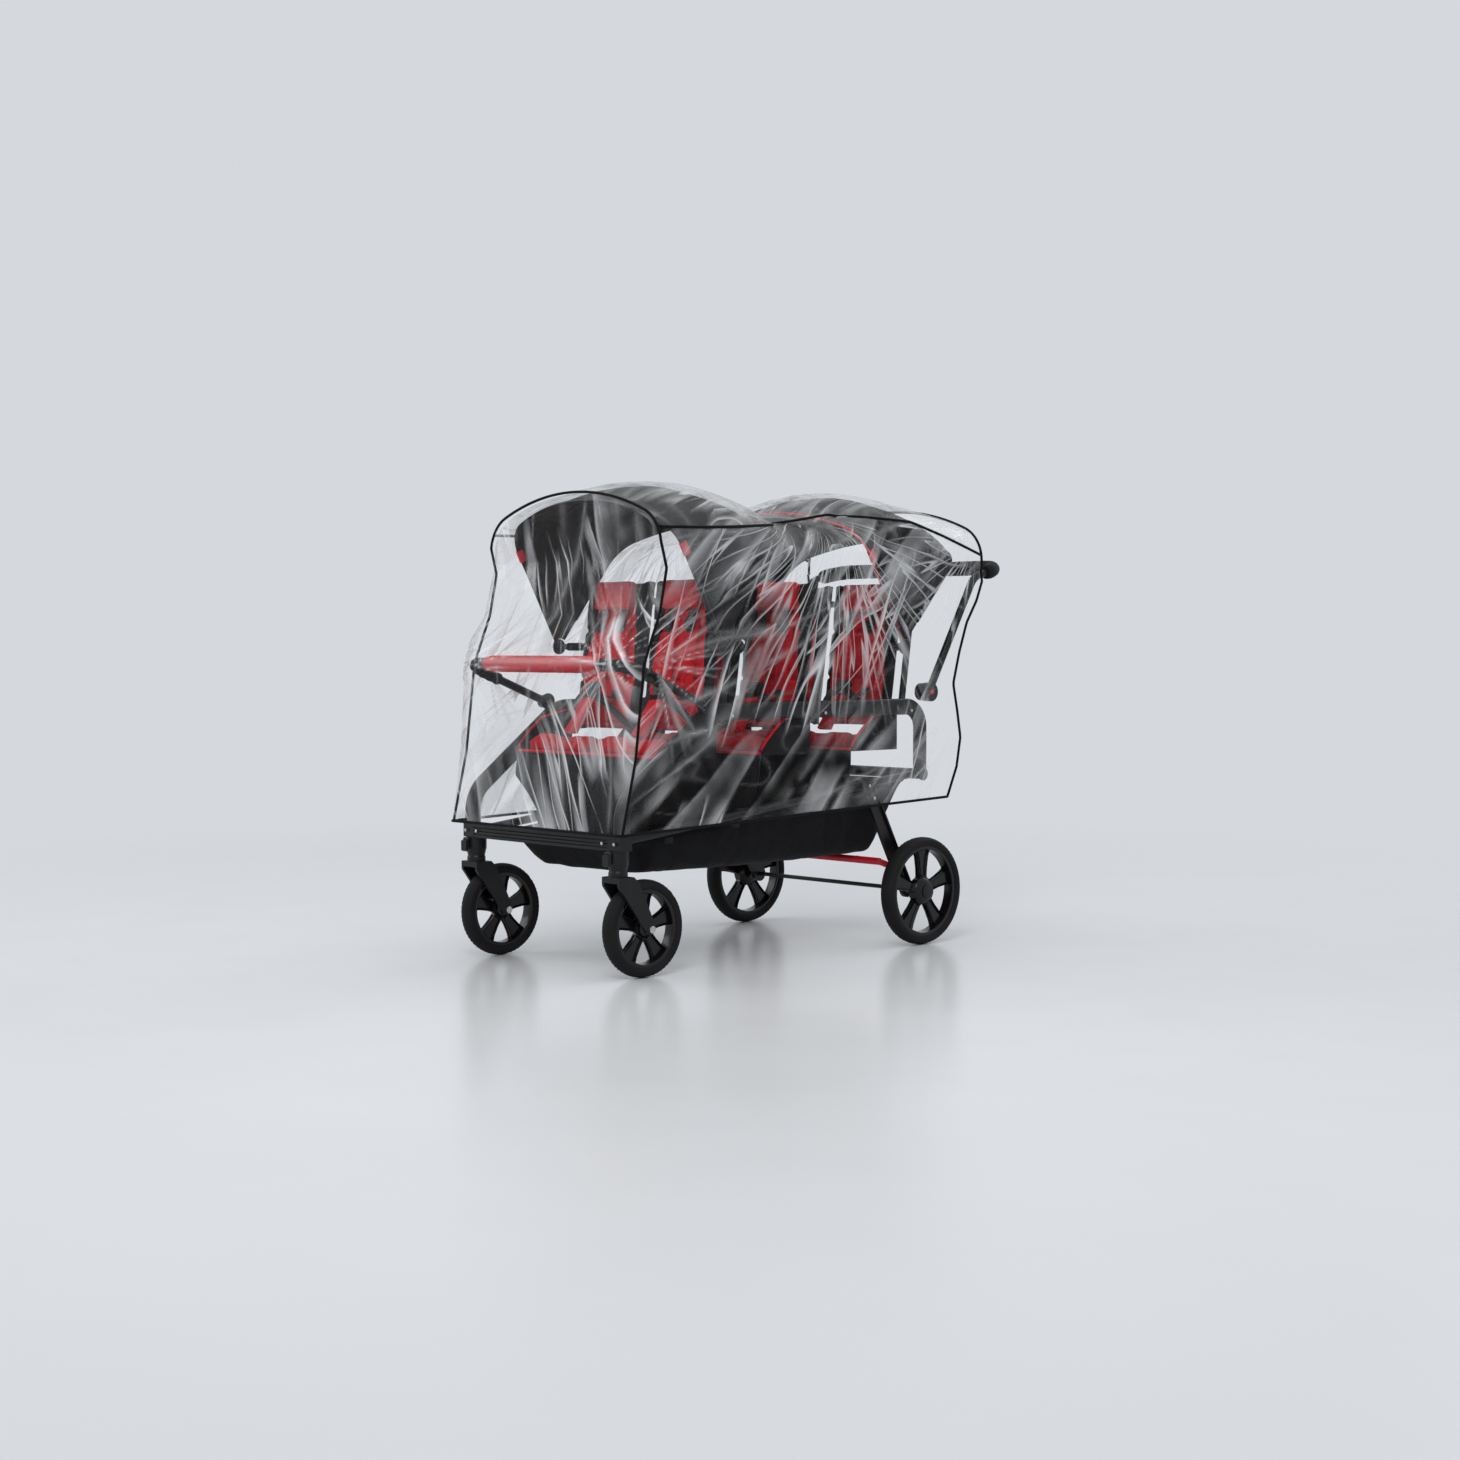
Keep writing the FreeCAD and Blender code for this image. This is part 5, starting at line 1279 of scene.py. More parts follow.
@dataclass
class Pads:
    """The stuffed shapes that every seat repeats, each blown up by a cloth simulation once."""

    voxel: float = 0.005
    pressure: float = 4.0
    last_frame: int = 20

    def puffed(self, size: Sequence[float], corner: float, cap: float) -> bpy.types.Object:
        """A pad blown up from a rounded slab that lies flat.

        Args:
            size: its three lengths before it swells.
            corner: radius of its upright corners.
            cap: how far any point may move.

        Returns:
            The pad, centred on the origin with its underside at z 0.
        """
        clear_selection()
        bpy.ops.mesh.primitive_cube_add(size=1, location=(0, 0, size[2] / 2))
        piece = bpy.context.object
        piece.scale = size
        bpy.ops.object.transform_apply(location=True, scale=True)
        bpy.ops.object.mode_set(mode="EDIT")
        bpy.ops.mesh.select_all(action="DESELECT")
        shell = bmesh.from_edit_mesh(piece.data)
        for edge in shell.edges:
            run = edge.verts[0].co - edge.verts[1].co
            edge.select = abs(run.z) > abs(run.x) + abs(run.y)
        bmesh.update_edit_mesh(piece.data)
        bpy.ops.mesh.bevel(offset=corner, segments=6, affect="EDGES")
        bpy.ops.object.mode_set(mode="OBJECT")
        remesh = piece.modifiers.new("voxels", "REMESH")
        remesh.mode, remesh.voxel_size = "VOXEL", self.voxel
        apply_all(piece)
        self.blow(piece, cap)
        round_off = piece.modifiers.new("round", "SUBSURF")
        round_off.levels = round_off.render_levels = 1
        apply_all(piece)
        return piece

    def blow(self, piece: bpy.types.Object, cap: float) -> None:
        """Swell the pad by cloth pressure, with its movement capped."""
        rest = [vert.co.copy() for vert in piece.data.vertices]
        cloth = piece.modifiers.new("cloth", "CLOTH")
        cloth.settings.use_pressure = True
        cloth.settings.uniform_pressure_force = self.pressure
        cloth.settings.effector_weights.gravity = 0.0
        cloth.settings.quality = 6
        scene = bpy.context.scene
        for number in range(1, self.last_frame + 1):
            scene.frame_set(number)
        apply_all(piece)
        scene.frame_set(1)
        for vert, start in zip(piece.data.vertices, rest):
            move = vert.co - start
            if move.length > cap:
                vert.co = start + move * (cap / move.length)

    def press(self, piece: bpy.types.Object, size: Sequence[float], channels: Sequence[float], depth: float,
              inset: float, bolster: float = 0.0) -> None:
        """Press stitched channels and a seam round the edge into a pad, and flatten its underside.

        Args:
            piece: the pad, lying flat.
            size: its three lengths.
            channels: places across its length, as shares.
            depth: how deep the channels are.
            inset: how far in from the edge the seam runs.
            bolster: how far its sides stand up.
        """
        across, length, height = size
        channel_width, seam_width, bolster_x, bolster_run = 0.0065, 0.0045, 0.088, 0.026
        for vert in piece.data.vertices:
            co = vert.co
            if co.z < 0:
                co.z *= 0.15
            if co.z > height * 0.45:
                rim = min(across / 2 - abs(co.x), length / 2 - abs(co.y))
                dips = [math.exp(-((co.y - share * length) / channel_width) ** 2) for share in channels]
                dips.append(0.75 * math.exp(-((rim - inset) / seam_width) ** 2))
                co.z -= depth * max(dips) * (1 + 0.18 * math.sin(co.x * 210))
                co.z += self.unevenness(co)
                rise = max(0.0, min(1.0, (abs(co.x) - bolster_x) / bolster_run))
                co.z += bolster * rise * min(1.0, max(0.0, rim / 0.012))

    @staticmethod
    def unevenness(place: Vector) -> float:
        """Lumps in the stuffing and slanting pulls in its cloth."""
        lumps = 0.0024 * noise.noise(place * 17)
        return lumps + 0.0011 * math.sin((0.7 * abs(place.x) + place.y) * 95 + 5 * noise.noise(place * 9))

    def raised(self, piece: bpy.types.Object) -> bpy.types.Object:
        """Stand a pad up so that it leans back."""
        piece.data.transform(Matrix.Rotation(math.pi / 2 - BACK_LEAN, 4, "X"))
        return piece

    def seat(self) -> bpy.types.Object:
        """The seat cushion."""
        size = (0.256, 0.178, 0.024)
        piece = self.puffed(size, 0.042, 0.009)
        self.press(piece, size, (), 0.003, 0.02)
        for vert in piece.data.vertices:
            co = vert.co
            if co.z > size[2] * 0.45:
                roll = math.exp(-((co.y + size[1] / 2 - 0.034) / 0.026) ** 2)
                co.z += 0.013 * roll * (1 - 0.8 * math.exp(-(co.x / 0.034) ** 2))
                co.z -= 0.004 * math.exp(-(co.x / 0.03) ** 2)
        return piece

    def back(self) -> bpy.types.Object:
        """The tall back pad with its sewn channels."""
        size = (0.256, 0.420, 0.019)
        piece = self.puffed(size, 0.05, 0.009)
        self.press(piece, size, (-0.16, 0.16), 0.008, 0.022, 0.016)
        piece.data.transform(Matrix.Translation((0, 0.2156, 0)))
        return self.raised(piece)

    def head(self) -> bpy.types.Object:
        """The head pad."""
        size = (0.144, 0.078, 0.025)
        piece = self.puffed(size, 0.016, 0.007)
        self.press(piece, size, (), 0.003, 0.012)
        return self.raised(piece)

    def strip(self, size: Sequence[float], seams: Sequence[float]) -> bpy.types.Object:
        """A narrow harness pad with cross seams, lying flat."""
        piece = self.puffed(size, min(size[0], size[1]) * 0.3, 0.004)
        self.press(piece, size, seams, 0.003, 0.007)
        return piece


@dataclass
class Harness:
    """Shoulder pads, webbing, adjusters, crotch pads and buckles of every seat."""

    spread: float = 0.086
    crotch_lean: float = math.radians(34)

    def build(self, pads: Pads) -> None:
        """Make one seat's harness and copy it into all six seats.

        Args:
            pads: the maker of stuffed shapes.
        """
        shoulder = pads.raised(pads.strip((0.051, 0.207, 0.009), (-0.25, 0.0, 0.25)))
        crotch = pads.strip((0.050, 0.119, 0.010), (0.0,))
        crotch.data.transform(Matrix.Translation((0, 0.0625, 0)))
        crotch.data.transform(Matrix.Rotation(math.pi / 2 - self.crotch_lean, 4, "X"))
        buckle, adjuster = self.buckle(), self.adjuster()
        shoulder_straps, lap_straps = self.shoulder_straps(), self.lap_straps()
        for row in Row:
            for side in Side:
                self.fit(row, side, shoulder, crotch, buckle, adjuster, shoulder_straps, lap_straps)
        discard(shoulder, crotch, buckle, adjuster, shoulder_straps, lap_straps)

    def fit(self, row: Row, side: Side, shoulder: bpy.types.Object, crotch: bpy.types.Object,
            buckle: bpy.types.Object, adjuster: bpy.types.Object, shoulder_straps: bpy.types.Object,
            lap_straps: bpy.types.Object) -> None:
        """Copy one harness into a seat.

        Args:
            row: the seat's row.
            side: the seat's side.
            shoulder: a standing shoulder pad.
            crotch: the leaning crotch pad.
            buckle: the buckle.
            adjuster: one webbing slider.
            shoulder_straps: both shoulder webbings.
            lap_straps: the webbing round the lap.
        """
        x, word = SEAT_X * side.value, "%s_%s" % (row.word, side.word)
        start = along(row.value)
        middle, slider_z = 0.8175, 0.908
        for hand, letter in ((-0.5, "a"), (0.5, "b")):
            pad = twin(shoulder, (x + self.spread * hand, start + back_face(middle), middle))
            dress(pad, "shoulder_pad_%s_%s" % (word, letter), "chassis", RED_CLOTH, Face.SMOOTH,
                  ["shoulder_pads"])
            slider = twin(adjuster, (x + self.spread * hand, start + back_face(slider_z) - 0.0185, slider_z))
            dress(slider, "strap_slider_%s_%s" % (word, letter), "chassis", PLASTIC)
        foot = start + SEAT_FRONT + SEAT_DEPTH * 0.3
        level = SEAT_TOP + 0.0218
        pad = twin(crotch, (x, foot, level + 0.0084))
        dress(pad, "crotch_pad_" + word, "chassis", RED_CLOTH, Face.SMOOTH, ["crotch_pads"])
        rise, ahead = 0.125 * math.cos(self.crotch_lean) + 0.014, 0.125 * math.sin(self.crotch_lean)
        dress(twin(buckle, (x, foot + ahead + 0.0014, level + rise)), "buckle_" + word, "chassis", PLASTIC,
              nodes=["harness_buckles"])
        dress(twin(shoulder_straps, (x, start, 0)), "shoulder_webbing_" + word, "chassis", STRAP, Face.SMOOTH)
        dress(twin(lap_straps, (x, start, 0)), "lap_webbing_" + word, "chassis", STRAP, Face.SMOOTH)

    def buckle(self) -> bpy.types.Object:
        """A side-release buckle: shell, press tab and three strap bars."""
        shell = block((0, 0, 0.020), (0.046, 0.013, 0.038), 0.0045, segments=4)
        tab = block((0, -0.0068, 0.022), (0.016, 0.004, 0.020), 0.0015)
        ears = [block((0.0255 * hand, 0, 0.026), (0.012, 0.008, 0.014), 0.002) for hand in (-1, 1)]
        piece = joined([shell, tab] + ears)
        piece.data.transform(Matrix.Rotation(math.radians(-20), 4, "X"))
        return piece

    def adjuster(self) -> bpy.types.Object:
        """A ladder slider: two long rails with three bars."""
        rails = [block((0.0165 * hand, 0, 0), (0.004, 0.006, 0.030), 0.0012, segments=2) for hand in (-1, 1)]
        bars = [block((0, -0.0005, level), (0.033, 0.0045, 0.0045), 0.0014, segments=2)
                for level in (-0.0125, 0, 0.0125)]
        piece = joined(rails + bars)
        piece.data.transform(Matrix.Rotation(-BACK_LEAN, 4, "X"))
        return piece

    def shoulder_straps(self) -> bpy.types.Object:
        """The webbing that leaves the back, passes the pads and comes down to the buckle."""
        straps = []
        for hand in (-1, 1):
            x = self.spread / 2 * hand
            upper = [(x, back_face(0.952) + 0.004, 0.952), (x, back_face(0.940) - 0.0165, 0.940),
                     (x, back_face(0.885) - 0.0165, 0.885)]
            lower = [(x, back_face(0.735) - 0.006, 0.735), (x, back_face(0.703) - 0.0125, 0.703),
                     (0.024 * hand, 0.197, 0.718)]
            for points, radius in ((upper, 0.010), (lower, 0.012)):
                path = resampled(bent(points, (radius,), 8), 30)
                straps.append(solid(*swept(path, rounded(0.025, 0.0016, 0.0007, 2), X_AXIS)))
        return joined(straps)

    def lap_straps(self) -> bpy.types.Object:
        """The webbing that comes from the corners of the seat to the buckle."""
        straps = []
        for hand in (-1, 1):
            points = [(0.122 * hand, back_face(0.640) + 0.012, 0.622), (0.108 * hand, 0.226, 0.640),
                      (0.066 * hand, 0.198, 0.688), (0.028 * hand, 0.192, 0.714)]
            path = resampled(bent(points, (0.02, 0.06), 8), 40)
            straps.append(solid(*swept(path, rounded(0.0016, 0.025, 0.0007, 2), Y_AXIS)))
        return joined(straps)


# Hoods
@dataclass
class Hood:
    """A folding hood: leading cloth on its bow, trailing cloth on the chassis."""

    row: Row
    hinge_z: float = 0.845
    half: float = 0.334
    crown: float = 0.434
    corner: float = 0.100
    lead: float = 29.0

    @property
    def trail(self) -> float:
        """How far the trailing cloth leans back, in degrees."""
        return 37.0 if self.row is Row.FRONT else 42.0

    def at(self, point: Vector, degrees: float, grow: float = 0.0) -> Vector:
        """A point of the arch at a tilt about the hinge line."""
        angle = math.radians(degrees)
        reach = point.z + grow
        return Vector((point.x, along(self.row.value + HOOD_HINGE) - reach * math.sin(angle),
                       self.hinge_z + reach * math.cos(angle)))

    def arch(self, inside: float, base: float, count: int) -> list[Vector]:
        """The hood's arch drawn in by a distance, from a height above the hinges."""
        return hood_arch(self.half - inside, self.crown - inside, self.corner - inside, base, count)

    def cloth(self, shrink: float, first: float, last: float, sag: float) -> bpy.types.Object:
        """A gore of cloth between two tilts that dips between its edges.

        Args:
            shrink: how far it lies inside the bow's arch.
            first: rearward tilt.
            last: forward tilt.
            sag: how far its middle dips.

        Returns:
            The sheet with its thickness.
        """
        arch = self.arch(shrink, 0.0235, 120)
        grid: Grid = []
        for share in evenly(0, 1, 30):
            tilt = first + (last - first) * share
            line = []
            for j, point in enumerate(arch):
                place = Vector((j * 0.11, share * 1.3, self.row.value * 3 + shrink * 900))
                fold = noise.noise(place) * 0.0022 + noise.noise(place * 2.7) * 0.0009
                dip = -sag * math.sin(math.pi * share) * min(1.0, point.z / 0.25)
                line.append(self.at(point, tilt, min(0.0, dip + (fold if point.z > 0.1 else 0.0))))
            grid.append(line)
        piece = solid(*woven(grid))
        thicken(piece, 0.0014)
        return piece

    def build(self) -> None:
        """Make the two cloths, their bindings, the bow and its clips."""
        word, body = self.row.word, self.row.word + "_hood"
        leading = self.cloth(0.0, 1.0, self.lead, 0.004)
        dress(leading, word + "_hood_leading_sheet", body, HOOD_CLOTH, Face.SMOOTH,
              [word + "_hood_leading_cloth"])
        trailing = self.cloth(0.0033, -self.trail, 5.0, 0.004)
        dress(trailing, word + "_hood_trailing_sheet", "chassis", HOOD_CLOTH, Face.SMOOTH,
              [word + "_hood_trailing_cloth"])
        self.bow(word, body)
        self.hems(word)

    def bow(self, word: str, body: str) -> None:
        """The flat sprung bow with its edge binding and two clips."""
        stand = 0.0067
        arch = self.arch(-stand / 2, 0.0, 160)
        path = [self.at(point, self.lead - 1.0) for point in arch]
        middle = (path[0] + path[-1]) / 2
        side = (path[80] - middle).cross(X_AXIS).normalized()
        strip = solid(*swept(path, rounded(0.014, 0.0062, 0.0022, 4), side))
        pivots = []
        for hand in (-1, 1):
            eye = lathe([(0.3346, 0.0083), (0.3346, 0.0205), (0.3362, 0.0216), (0.3394, 0.0216),
                         (0.3406, 0.0200), (0.3406, 0.0083)],
                        (0, along(self.row.value + HOOD_HINGE), self.hinge_z), 48)
            if hand < 0:
                mirror(eye)
            pivots.append(eye)
        dress(joined([strip] + pivots), word + "_sprung_bow", body, TUBE, nodes=[word + "_hood_bow"])
        edge = [self.at(point, self.lead + 0.1, 0.0) for point in arch]
        trim = PIPING if self.row is Row.FRONT else RED_TRIM
        dress(tube(edge, 0.0034, side, 10), word + "_bow_binding", body, trim, Face.SMOOTH)
        clips = []
        for index in (31, 124):
            run = path[index:index + 5]
            clips.append(solid(*swept(resampled(run, 14), rounded(0.0205, 0.0125, 0.004), side)))
        dress(joined(clips), word + "_bow_clips", body, RED_PLASTIC)

    def hems(self, word: str) -> None:
        """The bound rear edge of the trailing cloth and the rib seams inside it."""
        edge = [self.at(point, -self.trail) for point in self.arch(0.0040, 0.095, 140)]
        dress(tube(edge, 0.0026, Y_AXIS, 10), word + "_hood_rear_hem", "chassis", PIPING, Face.SMOOTH)
        inner = self.arch(0.0048, 0.03, 120)
        ribs = [tube([self.at(point, -self.trail * share, -0.0062) for point in inner], 0.0019, Y_AXIS, 8)
                for share in (0.72, 0.45, 0.18)]
        dress(joined(ribs), word + "_hood_rib_seams", "chassis", PIPING, Face.SMOOTH)


# Basket
@dataclass
class Basket:
    """The long cloth basket that hangs between the lower rails."""

    half: float = 0.262
    floor: float = 0.258
    front: float = 0.010
    rear: float = 1.026
    nose: float = 0.060
    tail: float = 0.090
    loop: tuple[tuple[float, float], ...] = (
        (0.0, -0.022), (0.0, 0.004), (0.012, 0.0287), (0.024, 0.0287), (0.036, 0.014))

    def rim(self, distance: float) -> float:
        """Height of the basket's rim, which follows the rising lower rails."""
        return 0.332 + 0.133 * (distance + CASTER_TRAIL) / 1.128

    def build(self) -> None:
        """Make the sagging shell, its hem, seams and hanging loops."""
        outer = self.skin()
        thicken(outer, 0.0022)
        dress(outer, "cloth_basket", "chassis", BLACK_CLOTH, Face.SMOOTH, ["basket"])
        half, front, rear = self.half, self.front, self.rear
        corners = [(-half, front), (half, front), (half, rear), (-half, rear), (-half, front), (half, front)]
        line = [Vector((x, along(t), self.rim(t))) for x, t in corners]
        hem = tube(resampled(line, 200), 0.0038, Z_AXIS, 10)
        dress(hem, "basket_hem", "chassis", PIPING, Face.SMOOTH)
        loops = []
        for t in (0.12, 0.36, 0.60, 0.84):
            for hand in (-1, 1):
                points = [((half + out) * hand, along(t), self.rim(t) + up) for out, up in self.loop]
                path = bent(points, (0.01, 0.008, 0.01), 6)
                loops.append(solid(*swept(path, rounded(0.0016, 0.030, 0.0007, 2), X_AXIS)))
        dress(joined(loops), "basket_loops", "chassis", STRAP, Face.SMOOTH)
        seams = [tube([point - Z_AXIS * 0.0012 for point in self.crossing(t)], 0.0021, Y_AXIS, 8)
                 for t in (0.16, 0.38, 0.60, 0.82, 0.985)]
        dress(joined(seams), "basket_seams", "chassis", PIPING, Face.SMOOTH)

    def skin(self) -> bpy.types.Object:
        """The shell as a grid from rim to rim over the sagging floor."""
        return solid(*woven([self.crossing(t) for t in evenly(self.front, self.rear, 110)]))

    def crossing(self, t: float) -> list[Vector]:
        """The cloth's line from rim to rim at one distance behind the front axle."""
        share = (t - self.front) / (self.rear - self.front)
        fall = min(1.0, (t - self.front) / self.nose, (self.rear - t) / self.tail)
        rim = self.rim(t)
        depth = (rim - self.floor) * max(fall, 0.0) ** 0.8
        line = []
        for u in evenly(-1, 1, 80):
            bow = 1 - abs(u) ** 7
            sag = 0.010 * (1 - u * u) * math.sin(math.pi * share) * fall
            ripple = 0.003 * noise.noise(Vector((u * 5, share * 18, 3.1))) * fall
            x = self.half * (abs(u) ** 0.55) * (1 if u >= 0 else -1)
            z = rim - depth * bow - min(sag, 0.007) + ripple * (1 if bow > 0.3 else 0.3)
            line.append(Vector((x + ripple, along(t), max(z, self.floor - 0.007))))
        return line


# Rain cover
@dataclass
class RainCover:
    """The clear cover: front, two sides and a scalloped roof, piped along every seam."""

    half: float = 0.3512
    gap: float = 0.0004
    corner: float = 0.104
    bottom: float = 0.372
    rear_rise: float = 0.042
    wall_top: float = 1.070
    brow: float = 0.0157
    tail_start: float = 1.036
    tail_end: float = 1.266
    tail_fall: float = 0.034
    bumper_z: float = 0.80
    levels: tuple[tuple[float, float, float], ...] = (
        (0.372, 0.124, 0.008), (0.560, 0.114, 0.042), (0.800, 0.113, 0.070), (0.865, 0.092, 0.075),
        (0.930, 0.030, 0.040), (1.070, -0.014, 0.025))

    def level(self, z: float) -> tuple[float, float]:
        """How far forward the front stands, and its corner radius, at a height.

        Args:
            z: the height.

        Returns:
            The forward reach and the radius.
        """
        z = max(self.levels[0][0], min(self.levels[-1][0], z))
        for (z0, f0, r0), (z1, f1, r1) in zip(self.levels, self.levels[1:]):
            if z <= z1:
                share = (z - z0) / (z1 - z0)
                return f0 + (f1 - f0) * share, r0 + (r1 - r0) * share
        return self.levels[-1][1], self.levels[-1][2]

    def crest(self, t: float) -> float:
        """Height of the roof's middle."""
        away = min(abs(t - HOOD_HINGE - row.value) for row in (Row.FRONT, Row.REAR))
        rise = math.sqrt(max(0.4407 ** 2 - away ** 2, 0))
        return max(0.8524 + rise, 1.254 if t < HOOD_HINGE else 1.225)

    def top(self, t: float) -> float:
        """Height of the roof's middle with its falling tail."""
        tail = max(0.0, t - self.tail_start) / (self.tail_end - self.tail_start)
        return self.crest(min(t, self.tail_start)) - self.tail_fall * tail

    def arch(self, t: float, inset: float, base: float, count: int) -> list[Vector]:
        """The roof's line from side to side.

        Args:
            t: where along the cover.
            inset: how far the line is drawn in.
            base: the height that it starts at.
            count: number of points.

        Returns:
            The points from left to right.
        """
        half, crown, corner = self.half + self.gap - inset, self.top(t) - 0.001 - inset, self.corner - inset
        return [Vector((p.x, along(t), p.z)) for p in hood_arch(half, crown, corner, base, count)]

    def fold(self, t: float, z: float, seed: float) -> float:
        """Strength of the film's creases at a place, from 0 to 1: long slanting folds and small ones."""
        slant = Vector((t * 1.1 + z * 0.55, (z - t * 0.45) * 7.5, seed))
        small = Vector((t * 4.0, z * 13.0, seed + 4))
        return min(1.0, 0.42 * ridged(slant, seed) ** 5 + 0.2 * ridged(small, seed) ** 8)

    def radiating(self, t: float, z: float, centre: tuple[float, float]) -> float:
        """Strength of the folds that run out from where the bumper pushes the film."""
        dt, dz = t - centre[0], z - centre[1]
        reach = math.hypot(dt, dz)
        spokes = ridged(Vector((math.atan2(dz, dt) * 5.2, reach * 1.5, 7)), 2.0) ** 3
        return spokes * math.exp(-((reach - 0.05) / 0.17) ** 2)

    def sheet(self, name: str, lie: Lie, grid: Grid, folds: list[list[float]], depth: float,
              node: str) -> bpy.types.Object:
        """Turn a grid into film, pushed out along its creases, with their strength stored on it as the fold
        attribute, which the film's material paints as highlight lines.

        Args:
            name: the piece's name.
            lie: how it lies.
            grid: its points.
            folds: crease strength at each point, also the strength of its painted highlights.
            depth: how far creases stand out.
            node: the node it stands for.

        Returns:
            The finished film.
        """
        piece = solid(*woven(grid))
        strengths = [value for line in folds for value in line]
        # the fold attribute also sets the film's painted highlight lines
        layer = piece.data.attributes.new("fold", "FLOAT", "POINT")
        layer.data.foreach_set("value", strengths)
        normals = [vert.normal.copy() for vert in piece.data.vertices]
        for vert, normal, strength in zip(piece.data.vertices, normals, strengths):
            vert.co += normal * (depth * (strength - 0.25))
        dress(piece, name, "rain_cover", FILMS[lie], Face.SMOOTH, [node])
        return piece

    def side_edges(self, z: float) -> tuple[float, float]:
        """Front and rear ends of a side panel at a height."""
        forward, corner = self.level(z)
        rear = ((0.414, 1.118), (0.50, 1.158), (0.584, 1.174), (0.66, 1.160), (0.739, 1.142), (0.83, 1.168),
                (0.915, 1.200), (0.98, 1.244), (1.036, 1.268), (1.070, 1.262))
        end = rear[0][1]
        for (z0, t0), (z1, t1) in zip(rear, rear[1:]):
            if z >= z0:
                end = t0 + (t1 - t0) * min(1.0, (z - z0) / (z1 - z0))
        return corner - forward, end

    def side(self, side: Side) -> None:
        """One side panel with diagonal folds."""
        tall, wide = 130, 220
        grid, folds = [], []
        for share in evenly(0, 1, tall):
            line, strengths = [], []
            for u in evenly(0, 1, wide):
                bottom = self.bottom + self.rear_rise * u
                z = bottom + (self.wall_top - bottom) * share
                first, last = self.side_edges(z)
                t = first + (last - first) * u
                edge = min(u, 1 - u, share, 1 - share) * 12
                strength = self.fold(t, z, 1.7 + side.value)
                strength = max(strength, self.radiating(t, z, (-0.01, self.bumper_z)))
                strengths.append(strength * min(1.0, 0.25 + edge))
                line.append(Vector((self.half * side.value, along(t), z)))
            grid.append(line)
            folds.append(strengths)
        self.sheet("clear_side_" + side.word, Lie.SIDE, grid, folds, 0.006,
                   "rain_cover_" + side.word)

    def front_line(self, z: float, count: int) -> list[Vector]:
        """The front's plan at a height, from left to right."""
        forward, corner = self.level(z)
        wide = self.half + self.gap
        left = [Vector((-wide + corner * (1 - math.cos(angle)), corner * (1 - math.sin(angle)) - forward, z))
                for angle in evenly(0, math.pi / 2, 8)]
        points = left + [Vector((-p.x, p.y, p.z)) for p in left[::-1]]
        return [Vector((p.x, along(p.y), z)) for p in resampled(points, count)]

    def front(self) -> None:
        """The front: bulged round the bumper below and an arch above."""
        wide, tall, upper = 150, 120, 34
        folds, top = [], self.wall_top - 0.0003
        grid = [self.front_line(z, wide + 1) for z in evenly(self.bottom, top, tall)]
        base = grid[-1]
        arch = [Vector((p.x, along(0.014), p.z)) for p in self.arch(self.brow, 0.0, top, wide + 1)]
        for share in evenly(0, 1, upper)[1:]:
            grid.append([low.lerp(high, share) for low, high in zip(base, arch)])
        for k, line in enumerate(grid):
            strengths = []
            for j, point in enumerate(line):
                u = j / wide
                drape = ridged(Vector((point.x * 9, point.z * 1.2, 5)), 3.3) ** 6 * 0.4
                near = max(self.radiating(point.x, point.z, (hand * 0.3, self.bumper_z)) for hand in (-1, 1))
                edge = min(u, 1 - u, k / len(grid), 1 - k / len(grid)) * 14
                # glare: a painted highlight band along the top of the bumper, where the film stretched over
                # the sleeve shines; stored with the folds, it also pushes the film out a little
                glare = 0.44 * math.exp(-((point.z - 0.808) / 0.013) ** 2) * (1 if abs(point.x) < 0.25 else 0)
                strengths.append(max(drape, near, glare) * min(1.0, 0.2 + edge))
            folds.append(strengths)
        self.sheet("clear_front", Lie.FRONT, grid, folds, 0.004, "rain_cover_front")

    def roof(self) -> None:
        """The roof: a rounded brow, a hump over each hood and a falling tail."""
        steps, count = 190, 170
        grid, folds = [], []
        brow_end, brow_radius = 0.039, 0.025
        for k, t in enumerate(evenly(self.brow, self.tail_end, steps)):
            ahead = max(0.0, brow_end - t)
            inset = brow_radius - math.sqrt(brow_radius ** 2 - ahead ** 2)
            grid.append(self.arch(t, inset, self.wall_top, count))
            strengths = []
            for j, point in enumerate(grid[-1]):
                edge = min(k / steps, 1 - k / steps, j / count, 1 - j / count) * 14
                crosswise = 0.35 * ridged(Vector((t * 9, point.x * 2.2, 1)), 9.0) ** 6
                strength = max(self.fold(t * 0.8, point.z + point.x * 0.6, 6.1), crosswise)
                strengths.append(strength * min(1.0, 0.2 + edge))
            folds.append(strengths)
        roof = self.sheet("clear_roof", Lie.ROOF, grid, folds, 0.005, "rain_cover_roof")
        # Below the side seam the roof takes the side's copy of the film, without the roof's darkening and
        # stronger painted reflection veil.
        two_tone(roof, FILMS[Lie.SIDE], lambda place, normal: self.is_below_seam(place))

    def is_below_seam(self, place: Vector) -> bool:
        """Whether a spot of the roof sheet lies under its side seam, where the film hangs like a side."""
        return abs(place.x) > 0.25 and place.z < self.seam_height(place.y - FRONT_AXLE_Y)

    @staticmethod
    def seam_height(t: float) -> float:
        """Height of the roof's side seam."""
        spots = ((0.0, 1.150), (0.16, 1.153), (0.272, 1.158), (0.448, 1.170), (0.593, 1.190), (0.727, 1.212),
                 (0.86, 1.203), (0.973, 1.198), (1.101, 1.163), (1.3, 1.100))
        for (t0, z0), (t1, z1) in zip(spots, spots[1:]):
            if t <= t1:
                return z0 + (z1 - z0) * (t - t0) / (t1 - t0)
        return spots[-1][1]

